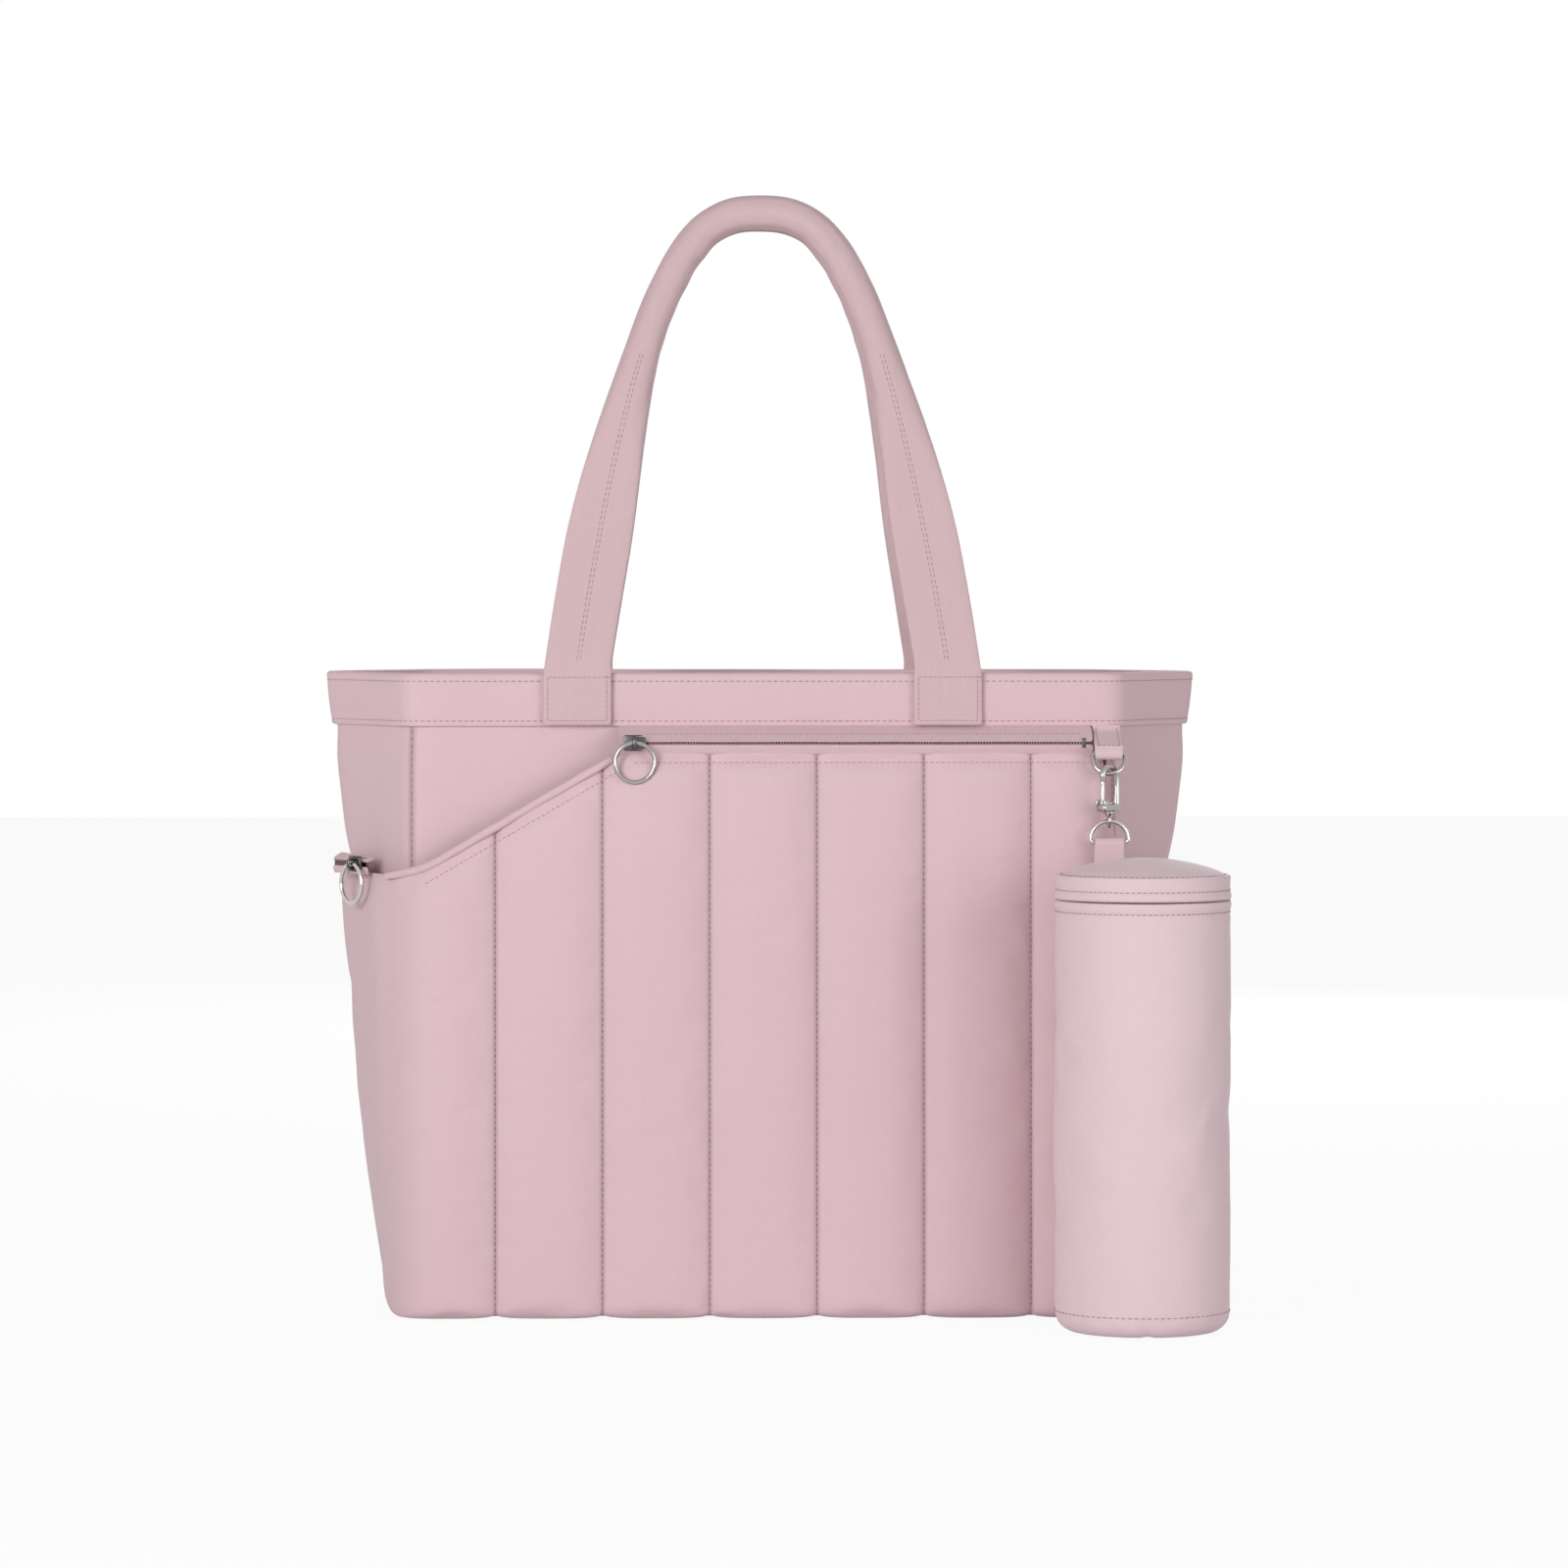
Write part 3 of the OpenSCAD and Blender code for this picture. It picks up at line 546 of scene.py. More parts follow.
def plan(z, inset, corner_round=10, fold_round=12):
    """The bag's outline at a height, from the middle of the back, with rounded corners."""
    w, d, f = half_w(z) - inset, half_d(z) - inset, half_w(z) + flare(z) - inset
    pts = [(0, d), (-w, d), (-f, 0), (-w, -d), (w, -d), (f, 0), (w, d), (0, d)]
    rounds = {1: corner_round, 2: fold_round, 3: corner_round, 4: corner_round, 5: fold_round, 6: corner_round}
    out = []
    ends = []
    for i, p in enumerate(pts):
        p = np.array(p, float)
        if i in rounds:
            a, c = np.array(pts[i - 1], float) - p, np.array(pts[i + 1], float) - p
            ends.append((p + a / np.linalg.norm(a) * rounds[i], p, p + c / np.linalg.norm(c) * rounds[i]))
        else:
            ends.append((p, p, p))
    for i in range(len(pts) - 1):
        here, there = ends[i], ends[i + 1]
        if i:
            for k in range(ROUND_COUNT):
                t = k / ROUND_COUNT
                out.append((1 - t) ** 2 * here[0] + 2 * t * (1 - t) * here[1] + t * t * here[2])
        for k in range(SIDE_COUNTS[i]):
            out.append(here[2] + (there[0] - here[2]) * k / SIDE_COUNTS[i])
    out.append(ends[-1][0])
    return np.array(out)


def corner_columns():
    """Which columns of the outline are on a corner seam: the middle of each rounded corner."""
    at, marks = SIDE_COUNTS[0], []
    for i in range(1, 7):
        marks.append((i, at + ROUND_COUNT // 2))
        at += ROUND_COUNT + SIDE_COUNTS[i]
    return [c for i, c in marks if i in (1, 3, 4, 6)]


def shell_sag(p, z):
    """Soft cloth walls: a little slack between the base and the band, none where they are sewn."""
    free = math.sin(math.pi * min(1, max(0, z / BAND_Z))) ** 0.6
    side = min(1, max(0, (abs(p[0]) - 150) / 40))
    push = free * (0.9 * ripple((p[0], p[1], z), 70, 3.1) + 0.5 * ripple((p[0], p[1], z), 28, 7.7))
    push -= side * free * 1.2 * (1 - abs(p[1]) / 75) * (1 - ease(200, 240, z))
    full = ease(228, 258, z) * (1 - ease(292, 312, z))
    return min(0.6, push - 0.5 * free) + 2.6 * side * full * (1 - abs(p[1]) / 78)


def pushed_out(ring, push):
    """An outline with each point moved away from the middle."""
    return ring + ring / np.linalg.norm(ring, axis=1)[:, None] * np.asarray(push, float)[:, None]


def make_shell():
    zs = [0.4, 1.2, 3.5, 7] + list(np.linspace(14, 306, 34)) + [310, 313.5]
    rows = []
    seams = corner_columns()
    crease = []
    for scale, z in ((0.02, 0.4), (0.3, 0.4), (0.6, 0.4), (0.85, 0.4), (0.95, 0.3)):
        ring = plan(0, 3) * scale
        rows.append([(x, y, z) for x, y in ring])
        crease.append(np.zeros(len(ring)))
    for z in zs:
        tuck = 3.2 * (1 - min(1, z / 6)) ** 2
        ring = plan(z, 0.3 + tuck)
        mark = np.zeros(len(ring))
        # Corner seam columns, marked for the cloth finish's painted crease shade.
        mark[seams] = 1
        ring = pushed_out(ring, [shell_sag(p, z) for p in ring])
        for c in seams:
            ring[c] *= 1 + 0.9 / np.linalg.norm(ring[c])
        rows.append([(x, y, z) for x, y in ring])
        crease.append(mark)
    shell = net("tote_shell", rows, crease=np.array(crease))
    tidy_mesh(shell)
    thicken(shell, 2.6)
    round_off(shell)
    finish(shell, "shell", "bag",
           ("front_panel", "back_panel", "left_gusset", "right_gusset", "base_panel"), 60)
    for c in seams:
        inward = -np.append(plan(150, 0)[c], 0)
        inward /= np.linalg.norm(inward)
        path = [np.append(plan(z, 0)[c], z) - 20 * inward for z in np.linspace(6, 310, 60)]
        stitch_line("bag", lay_near(shell, path, inward, 60), pitch=3.6, thread="thread_dark")


def make_lining():
    rows = []
    for scale in (0.02, 0.3, 0.6, 0.85, 0.96):
        rows.append([(x, y, 7.2) for x, y in plan(6, 5.5) * scale])
    for z in [7.4, 9, 14] + list(np.linspace(25, 311, 24)):
        ring = plan(z, 4.4, 12, 14)
        rows.append([(x, y, z) for x, y in pushed_out(ring, [-0.8 - abs(shell_sag(p, z)) for p in ring])])
    lining = net("tote_lining", rows)
    tidy_mesh(lining)
    thicken(lining, 0.7)
    finish(lining, "lining", "bag", ("main_lining", "lining_floor", "base_board"), 60)


def make_band():
    """The hemmed band: a folded strip round the rim, sewn along its lower edge."""
    profile = [(-1.0, 312.4), (-1.55, 312.9), (-1.75, 314.4), (-1.35, 315.6), (-1.8, 318), (-1.9, 326), (-1.8, 333),
               (-1.45, 336.2), (-1.75, 338), (-1.4, 339.6), (-0.4, 340.6), (1.2, 340.8), (2.6, 340.2), (3.3, 338.6),
               (3.5, 330), (3.6, 318), (3.5, 312.6), (1.2, 312.0), (-1.0, 312.4)]
    rows = []
    for inset, z in profile:
        ring = plan(z, inset, 9, 10)
        ring = pushed_out(ring, [0.35 * ripple((p[0], p[1], z), 45, 1.7) for p in ring])
        lift = np.array([0.5 * ripple((p[0], p[1], 0), 90, 5.2) for p in ring]) * (z > 330)
        rows.append([(x, y, z + dz) for (x, y), dz in zip(ring, lift)])
    band = net("top_hem_band", rows, close=True)
    round_off(band)
    finish(band, "shell", "bag", ("top_band",), 60)
    for z in (315.3, 336.3):
        stitch_line("bag", even([(x, y, z) for x, y in plan(z, -1.75, 9, 10)], 240))


# ---- The quilted pocket ----
GAP, QUILT = 9.0, 8.0
PITCH = 56.5
SEAMS = [PITCH * (k - 2.5) for k in range(6)]
POCKET_X = 184.0
POCKET_TOP = 299.156
MOUTH_X = 72.0
WING_H = 234.0
MOUTH_END = WING_H / COS
WING_LENGTH = 134.0
TUCK = [1.02, 1.01]
SHARES = [0, .03, .075, .14, .25, .40, .60, .75, .86, .925, .97]
EDGE = [0.012, .03, .06, .10, .15, .20, .25, .30, .345, .375, .405, .44, .48, .53, .59,
        .66, .73, .80, .87, .93, .97, 1.0]


def swell(d, reach=28.0):
    """How full the padding is at a distance from a seam: 0 on it, 1 past reach."""
    return (1 - (1 - min(1, d / reach)) ** 4) ** 0.65


def wing_bend(z, out):
    t = 4 + 1.4 * z / WING_H
    return np.array([half_w(z) + 5.5 + 4.5 * z / WING_H + 0.9 * out * t, -half_d(z) + 6 - 0.4 * out * t])


def wing_back(z, out):
    t = 4 + 1.4 * z / WING_H
    x0 = half_w(0) + flare(0)
    x1 = half_w(BAND_Z) + flare(BAND_Z)
    belly = 4.0 * math.sin(math.pi * min(1, z / 175)) - 2.5 * ease(185, 234, z)
    return np.array([x0 + (x1 - x0) * z / BAND_Z + 0.5 + 2.5 * z / WING_H + out * t + belly, -0.3])


def corner_path(z, out):
    y = -half_d(z) - (GAP + out * QUILT) / COS
    pts = [(SEAMS[-1], y), (POCKET_X - 2 * out, y), tuple(wing_bend(z, out)), tuple(wing_back(z, out))]
    return bent(pts, 7, {1: 14, 2: 18})


def pocket_top_at(x):
    """The height of the pocket's edge, where x is signed and grows past the corners."""
    if x >= -MOUTH_X:
        return POCKET_TOP * COS if x <= POCKET_X - 0.5 else WING_H
    if x >= -POCKET_X:
        return (POCKET_TOP + (MOUTH_END - POCKET_TOP) * (-x - MOUTH_X) / (POCKET_X - MOUTH_X)) * COS
    return WING_H


def quilt_columns():
    """Each column is (-1, t) on the left wing, (0, x) on the front or (1, t) on the right wing."""
    front = [SEAMS[k] + PITCH * f for k in range(5) for f in SHARES] + [SEAMS[5]]
    edge = EDGE + TUCK[::-1]
    return [(-1, t) for t in reversed(edge)] + [(0, x) for x in front] + [(1, t) for t in edge]


def quilt_point(col, r):
    side, t = col
    if t > 1 and side:
        z = 0.5 + r * (WING_H - 0.5)
        x, y = np.interp(z, *SIDE_WALL[side]) - 0.4, 3.0
        if t < TUCK[0]:
            x, y = 0.45 * x + 0.55 * wing_back(z, 0)[0], 1.6
        return (side * x, y, z), (side * (SEAMS[-1] + WING_LENGTH * t), z)
    if side:
        x = min(POCKET_X + 1, SEAMS[-1] + WING_LENGTH * t)
        top = pocket_top_at(side * x)
        full = swell(t * WING_LENGTH) * (0.35 + 0.65 * swell((1 - t) * WING_LENGTH, 22))
        from_seam = t * WING_LENGTH
    else:
        top = pocket_top_at(t)
        from_seam = min(abs(t - s) for s in SEAMS)
        full = swell(from_seam)
    low = 0.5 + 2.0 * (1 - full)
    z = low + r * (top - low)
    pucker = math.exp(-from_seam / 7.0) * 0.5 * math.sin(z / 2.3 + 2.2 * ripple((t * 40, 0, z), 16, side + 2))
    full = max(0.0, full + pucker * 0.22 * (1 if from_seam > 0.1 else 0))
    foot = math.sqrt(max(0, 1 - (1 - min(1, (z - low) / 9)) ** 2))
    slanted = side == -1 or (side == 0 and t < -MOUTH_X)
    down = (top - z) * (0.87 if slanted else 1)
    head = 0.42 + 0.58 * (1 - (1 - min(1, down / 16)) ** 2.2)
    if not slanted:
        head -= 0.22 * math.exp(-((down - 5.5) / 1.8) ** 2)
    out = (0.4 + 0.6 * full) * foot * head
    out = out + 0.035 * ripple((t * 30 + side * 500, 0, z), 30, 4.4) * full
    out = min(1.02, out)
    if side:
        a, b = corner_path(z, 0), corner_path(z, 1)
        d0, d1 = distances(a), distances(b)
        p = np.array([np.interp(t, d0 / d0[-1], a[:, k]) for k in (0, 1)])
        q = np.array([np.interp(t, d1 / d1[-1], b[:, k]) for k in (0, 1)])
        x, y = p + (q - p) * out
        return (side * x, y, z), (side * (SEAMS[-1] + t * WING_LENGTH), z)
    y = -half_d(z) - (GAP + out * QUILT) / COS
    return (t, y, z), (t, z)


SIDE_WALL = {}


def find_side_walls():
    """How far out the bag's own side walls stand, height by height, where the pocket is sewn to them."""
    for side in (-1, 1):
        points = [(side * 300, 3.0, z) for z in np.linspace(1, WING_H, 40)]
        hits = lay_near(bpy.data.objects["tote_shell"], points, (-side, 0, 0), 200)
        SIDE_WALL[side] = (hits[:, 2], np.abs(hits[:, 0]))


def make_quilt():
    find_side_walls()
    cols = quilt_columns()
    steps = [0, .004, .01, .02, .035, .055, .08, *np.linspace(.105, .90, 46),
             .92, .94, .955, .967, .977, .986, .993, 1]
    pts, uv, crease, hold = [], [], [], []
    for r in steps:
        row = [quilt_point(c, r) for c in cols]
        pts.append([p for p, _ in row])
        uv.append([q for _, q in row])
        # Quilt seam columns, marked for the cloth finish's painted crease shade.
        crease.append([1.0 if (s == 0 and min(abs(t - k) for k in SEAMS) < 0.01) else 0.0 for s, t in cols])
        hold.append([1.0 if crease[-1][i] or r in (0, 1) or i in (0, len(cols) - 1) else
                     (0.5 if s and 0.3 < t < 0.5 else 0.0) for i, (s, t) in enumerate(cols)])
    quilt = net("quilted_pocket", pts, crease=np.array(crease), uv=np.array(uv))
    face_towards(quilt, (0, -1, 0))
    puff(quilt, np.array(hold).ravel(), pressure=12, cap=1.6, slack=0.01)
    round_off(quilt)
    thicken(quilt, 2.2)
    finish(quilt, "quilt", "bag", ("pocket_front", "pocket_left_wing", "pocket_right_wing"), 70)
    for s in SEAMS:
        rise = np.linspace(4, pocket_top_at(s) - 3, 90)
        sew_front("bag", quilt, [(s, z) for z in rise], pitch=3.2, width=0.8, thread="thread_dark")
    along = np.linspace(-MOUTH_X + 4, POCKET_X - 4, 120)
    sew_front("bag", quilt, [(x, POCKET_TOP - 5.5) for x in along], pitch=3.0)
    slant = np.linspace(-POCKET_X + 6, -MOUTH_X - 6, 60)
    sew_front("bag", quilt, [(x, pocket_top_at(x) - 7.5) for x in slant], pitch=3.0)


def make_pocket_lining():
    """The pocket's back and floor: each row has its distance from the wall and its share of the height."""
    rows = []
    xs = np.r_[np.linspace(-184, -MOUTH_X, 14), np.linspace(-60, 183, 26)]
    for w, share in ((0.5, None), (3, None), (6.5, None), (8.2, 0.012), (8.35, 0.05), (8.35, 0.3),
                     (8.3, 0.6), (8.35, 0.9), (8.35, 1.0)):
        row = []
        for x in xs:
            top = (pocket_top_at(x) - 3) / COS
            v = 2.2 if share is None else 2.2 + share * (top - 2.2)
            row.append(on_front(x, v, w))
        rows.append(row)
    lining = net("pocket_backing", rows)
    face_towards(lining, (0, 1, 0))
    round_off(lining)
    thicken(lining, 0.6, 1.0)
    finish(lining, "lining", "bag", ("pocket_lining", "pocket_floor"), 60)


def make_pocket_end():
    """The narrow strip that closes the pocket's right end above the wing."""
    bow = {w: 0.8 * math.sin(math.pi * min(1, max(0, w / 11))) for w in (-0.8, 1, 3, 6, 9, 11.5)}
    heights = np.linspace(MOUTH_END - 5, POCKET_TOP - 2, 20)
    end = net("pocket_end_strip", [[on_front(POCKET_X - 1.6 - bow[w], v, w) for w in bow] for v in heights])
    face_towards(end, (1, 0, 0))
    thicken(end, 1.0)
    finish(end, "shell", "bag")


def make_lip():
    """The piped edge along the slanted mouth, and on round the corner to the side zip."""
    slope = 0.5607
    path = [on_front(-MOUTH_X - 8, POCKET_TOP - 8 * slope + 0.4, GAP + 4.0)]
    path.append(on_front(-POCKET_X + 5, MOUTH_END + 5 * slope + 0.2, GAP + 4.0))
    b = wing_bend(WING_H, 0.55)
    path.append((-b[0] + 1, b[1] - 4, WING_H - 0.5))
    path = even(bent(path, 8, {1: 10}), 70)
    radii = [0.8 + 0.2 * min(1, i / 6, (69 - i) / 6) for i in range(70)]
    lip = wire("mouth_piping", path, 2.25, radii=radii, sides=12)
    co = read_points(lip) / MM
    co = np.array([np.array(p) + np.array((0, 0.25, 0.3)) * ripple(p, 12, 9) for p in co])
    write_points(lip, co * MM)
    finish(lip, "shell", "bag", ("mouth_binding",), 70)


# ---- Zips ----
COIL_V = 303.756
COIL_W = 13.3
ZIP_X0, ZIP_X1 = -70.0, 168.0
RING_LIFT, RING_R = 5.6, 10.4
SLIDER_X = -67.5
FLAT_TOOTH = (0.95, 2.0, 1.9)


def coil_teeth(name, paths, finish_name, body, stands_for, size, pitch=1.5):
    """Rows of zip coil, each tooth a small rounded link."""
    rows = []
    for path in paths:
        deselect()
        bpy.ops.mesh.primitive_uv_sphere_add(segments=8, ring_count=6, radius=0.5)
        tooth = bpy.context.object
        write_points(tooth, read_points(tooth) * np.array(size) * MM + np.array([size[0] * MM / 2, 0, 0]))
        tidy_mesh(tooth)
        rows.append(repeat_along(tooth, path, pitch))
    return finish(merged(name, rows), finish_name, body, stands_for)


def strip(name, edge_a, edge_b, bow=0.0, way=(0, -1, 0), wall=0.8, mids=4):
    """A strip of tape between two edges, bowed outwards."""
    a, b = np.array(edge_a, float), np.array(edge_b, float)
    rows = []
    for k in range(mids + 1):
        t = k / mids
        rows.append(a + (b - a) * t + np.array(way) * bow * 4 * t * (1 - t))
    tape = net(name, rows)
    face_towards(tape, way)
    round_off(tape)
    thicken(tape, wall)
    return tape


def make_front_zip():
    xs = np.linspace(ZIP_X0 - 6, ZIP_X1 + 6, 90)
    wave = [0.25 * math.sin(x / 9) + 0.3 * ripple((x, 0, 0), 20, 6) for x in xs]
    upper = strip("upper_zip_tape",
                  [on_front(x, BAND_Z / COS + 0.6, 0.6) for x in xs],
                  [on_front(x, COIL_V + 1.15 + 0.25 * q, COIL_W + 2.2) for x, q in zip(xs, wave)], 1.4)
    lower = strip("lower_zip_tape",
                  [on_front(x, COIL_V - 1.2 + 0.2 * q, COIL_W + 2.0) for x, q in zip(xs, wave)],
                  [on_front(x, POCKET_TOP - 1.2, GAP + 3.0) for x in xs], 0.3)
    tape = merged("front_zip_cloth", [upper, lower])
    finish(tape, "shell", "bag", ("front_zip_tapes",), 60)
    along = np.linspace(ZIP_X0 + 10, ZIP_X1, 40)
    rows = [[on_front(x, COIL_V + s, COIL_W + 1.2) for x in along] for s in (-0.85, 0.85)]
    coil_teeth("front_zip_links", rows, "coil", "bag", ("front_zip_coils",), FLAT_TOOTH)
    line = [on_front(x, COIL_V + 4.6, COIL_W - 0.2) for x in np.linspace(ZIP_X0 + 8, ZIP_X1, 60)]
    sew_front("bag", tape, [(p[0], p[2]) for p in line], pitch=3.0)
    stop = block("front_zip_end", (1.9, 5.2, 2.6), (ZIP_X1 + 1.2, 0, 1.2), 0.5)
    placed(stop, FRONT_AXES, on_front(0, COIL_V, COIL_W))
    finish(stop, "gunmetal", "bag", ("front_zip_stop",))


def make_slider(name, axes, origin, body, node):
    """A cast slider: two bevelled plates, the post between them and an arched bail."""
    top = 2.75
    parts = [
        block("top_plate", (11.5, 8.2, 1.2), (0, 0, top + 0.65), 0.45, 0.72),
        block("bottom_plate", (11.5, 8.2, 1.1), (0, 0, -1.0), 0.45, 0.72),
        block("divider", (2.6, 0.8, 3.2), (-4.2, 0, 1.2), 0.2),
        block("crown", (6.0, 3.4, 0.9), (0, 0, top + 1.45), 0.4, 0.8),
    ]
    for s in (-1, 1):
        parts.append(block("side_rail", (9, 0.7, 1.5), (-0.6, s * 3.9, top - 0.3), 0.25, 0.8))
    arch = bent([(0, -2.6, top + 1.3), (0, -2.6, top + 5.0), (0, 2.6, top + 5.0), (0, 2.6, top + 1.3)], 8, 2.2)
    bail = wire("bail", arch, 0.75, radii=[1.2] + [1] * (len(arch) - 2) + [1.2], sides=10)
    co = read_points(bail)
    co[:, 0] *= 1.7
    write_points(bail, co)
    parts.append(bail)
    slider = merged(name, parts)
    placed(slider, axes, origin)
    finish(slider, "gunmetal", body, (node,))


def make_ring(name, axes, origin, body, node, finish_name="ring"):
    """A ring pull of drawn wire, with the weld where its ends meet."""
    turns = np.linspace(0, 2 * math.pi, 97)[:-1]
    weld = [1 + 0.10 * math.exp(-((t - math.pi * 1.62) / 0.05) ** 2) for t in turns]
    ring = wire(name, [(RING_R * math.cos(t), RING_R * math.sin(t) - RING_R, RING_LIFT) for t in turns], 1.1,
                radii=weld, closed=True, sides=14)
    placed(ring, axes, origin)
    finish(ring, finish_name, body, (node,), 80)


SIDE_O = np.array([-227.917, -23.5, WING_H + 4.8])
SIDE_X = np.array([0.557904, -0.829905, 0.0])
SIDE_Y = np.array([0.0, 0.0, 1.0])
SIDE_Z = np.array([-0.829905, -0.557904, 0.0])


def on_side(x, y, z):
    return tuple(SIDE_O + SIDE_X * x + SIDE_Y * y + SIDE_Z * (z - 1.2))


def make_side_zip():
    xs = np.linspace(-1.5, 33, 24)
    lower = strip("lower_side_tape", [on_side(x, -5.6, 1.0) for x in xs],
                  [on_side(x, -1.6, 1.9 + 0.2 * math.sin(x)) for x in xs], 0.3, tuple(SIDE_Z))
    upper = strip("upper_side_tape", [on_side(x, 1.7, 1.8) for x in xs],
                  [on_side(x, 5.2 - 0.06 * x, -3.6) for x in xs], 0.9, tuple(SIDE_Z))
    tape = merged("side_zip_cloth", [lower, upper])
    finish(tape, "shell", "bag", ("side_zip_tape",), 60)
    rows = [[on_side(x, s, 1.2) for x in np.linspace(0, 26, 12)] for s in (-0.85, 0.85)]
    # The side coil takes the darker copy of the coil nylon: painted shade for the zip's mouth.
    coil_teeth("side_zip_links", rows, "coil_painted_shade", "bag", ("side_zip_coils",), FLAT_TOOTH)


# ---- Handles ----
HINGE_Y, HINGE_Z = -71.3, 343.0
TILT = math.radians(13.449)
LEG, RISE, ARCH = 98.0, 250.57, 2.7


def handle_ring(s, steps, low=None):
    """One ring of the strap: flat and grooved at its foot, rolled and seamed along the grip."""
    h = RISE * (1 - abs(s) ** ARCH)
    share = h / RISE
    full = ease(0.24, 0.78, share)
    steep = math.atan2(LEG, RISE * ARCH * max(abs(s), 1e-4) ** (ARCH - 1)) * ease(0.02, 0.16, share)
    way = math.pi - steep if s < 0 else steep
    wide = 35 + (18.4 - 35) * full
    thick = 4.4 + (18.4 - 4.4) * full
    if low is not None:
        wide, thick = 36.2, 3.8
    square = 0.34 + 0.66 * ease(0.1, 0.85, full)
    seam_at = math.pi * (1.5 - 0.5 * ease(0.35, 0.95, full))
    ring = []
    for k in range(steps):
        q = 2 * math.pi * k / steps
        c, d = math.cos(q), math.sin(q)
        u = wide / 2 * math.copysign(abs(c) ** square, c)
        v = thick / 2 * math.copysign(abs(d) ** square, d)
        off = abs((q - seam_at + math.pi) % (2 * math.pi) - math.pi)
        dip = math.exp(-(off / (0.16 + 0.10 * full)) ** 2) * (0.9 + 0.5 * full)
        if low is None:
            grow = math.hypot(u, v)
            u *= 1 - dip * full / max(grow, 1)
            v *= 1 - (dip * 0.5 / (thick / 2) if full < 0.5 else dip * full / max(grow, 1))
            gathers = 0.5 * math.exp(-(off / 0.6) ** 2) * math.sin(h / 2.6)
            crumple = full * (0.45 * ripple((u * 2, v * 2, h), 9, 2 + s) + gathers)
            u *= 1 + crumple / max(grow, 1)
            v *= 1 + crumple / max(grow, 1)
        ring.append((u, v))
    out = []
    for u, v in ring:
        if low is None:
            x, y, z = LEG * s + u * math.cos(way), v, h + u * math.sin(way)
            y_world = HINGE_Y + y * math.cos(TILT) + z * math.sin(TILT)
            z_world = HINGE_Z - y * math.sin(TILT) + z * math.cos(TILT)
            settle = 0.9 * (1 - ease(0, 12, z_world - HINGE_Z)) if z_world < HINGE_Z + 12 else 0
            out.append((x, y_world + settle, z_world))
        else:
            x = LEG * s + (u if s > 0 else -u)
            out.append((x, -half_d(low) - 1.9 - 1.75 + v * 0.92, low))
    return out


FOOT = {313.0: 0.05, 313.15: 0.6, 313.6: 0.9, 315: 1, 318: 1, 322: 1, 327: 1, 332: 1, 336: 1, 339.5: 1}


def foot_rings(s, steps):
    """The flat foot on the band, closing at its lower end."""
    rings = []
    for z, share in FOOT.items():
        ring = np.array(handle_ring(s, steps, low=z))
        mid = ring.mean(axis=0)
        rings.append(mid + (ring - mid) * np.array([1 - (1 - share) * 0.06, share, 1]))
    return rings


def make_handle(name, back=False):
    steps = 40
    body = "rear_handle" if back else "front_handle"
    top = [math.cos(math.pi * i / 110) for i in range(0, 111)]
    top = [s for s in top if RISE * (1 - abs(s) ** ARCH) > 1.5]
    rows = foot_rings(1, steps) + [np.array(handle_ring(s, steps)) for s in top] + foot_rings(-1, steps)[::-1]
    flip = -1 if back else 1
    rows = np.array([np.vstack([r, r[:1]]) for r in rows]) * np.array([1, flip, 1])
    strap = net(name, rows)
    tidy_mesh(strap)
    edit_all(
        strap,
        lambda: bpy.ops.mesh.select_all(action="DESELECT"),
        lambda: bpy.ops.mesh.select_non_manifold(),
        lambda: bpy.ops.mesh.fill_holes(sides=0),
        lambda: bpy.ops.mesh.select_all(action="SELECT"),
        lambda: bpy.ops.mesh.normals_make_consistent(inside=False),
    )
    round_off(strap)
    finish(strap, "handle", None, (body, f"{body}_core", f"{body}_anchors"), 75)
    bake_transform(strap)
    low, high = 315.6, 338.5
    for sign in (-1, 1):
        for dx in (-0.9, 0.9):
            leg = [(LEG * sign * (1 - h / RISE) ** (1 / ARCH) + dx, flip * -130, HINGE_Z + h * math.cos(TILT))
                   for h in np.linspace(5, 172, 80)]
            stitch_line(body, lay_near(strap, leg, (0, flip, 0), 110), pitch=3.2, width=0.5)
        x0, x1 = LEG * sign - 15.6, LEG * sign + 15.6
        for box, count in (([(x0, high), (x0, low), (x1, low), (x1, high)], 70), ([(x0, high), (x1, high)], 30)):
            path = even([(x, flip * -110, z) for x, z in box], count)
            stitch_line("bag", lay_near(strap, path, (0, flip, 0), 90), pitch=2.6, width=0.5)


# ---- The snap buttons inside the rim ----
def make_snaps():
    profile = [(0.01, 0), (9, 0), (9.1, 0.4), (9.1, 1.7), (8.6, 2.2), (6.6, 2.3), (6.2, 1.8), (3.4, 1.7),
               (3.0, 2.4), (1.2, 2.6), (0.01, 2.6)]
    for flip, node in ((1, "front_magnet"), (-1, "rear_magnet")):
        snap = lathe(f"{node}_button", profile, 48)
        axes = ((1, 0, 0), (0, -SIN, -COS), (0, COS, -SIN))
        placed(snap, axes, on_front(0, 326 / COS, -4.0))
        if flip < 0:
            co = read_points(snap)
            co[:, 1] *= -1
            write_points(snap, co)
            tidy_mesh(snap)
        finish(snap, "bright", "bag", (node,), 40)


# ---- The clip: tab, rings, hook and swivel ----
CLIP_X = 182.0
BAR_Y, BAR_Z = -88.754, 298.156
HOOK_Y = -94.554
ARC_Z, BASE_TOP, PIVOT_Z = 286.211, 272.211, 272.611
HOOK_ARC = 5.6
EYE_Z, LOW_BAR = 263.411, 251.661
C45 = math.cos(math.radians(45))
HOOK_AXES = ((C45, C45, 0), (-C45, C45, 0), (0, 0, 1))


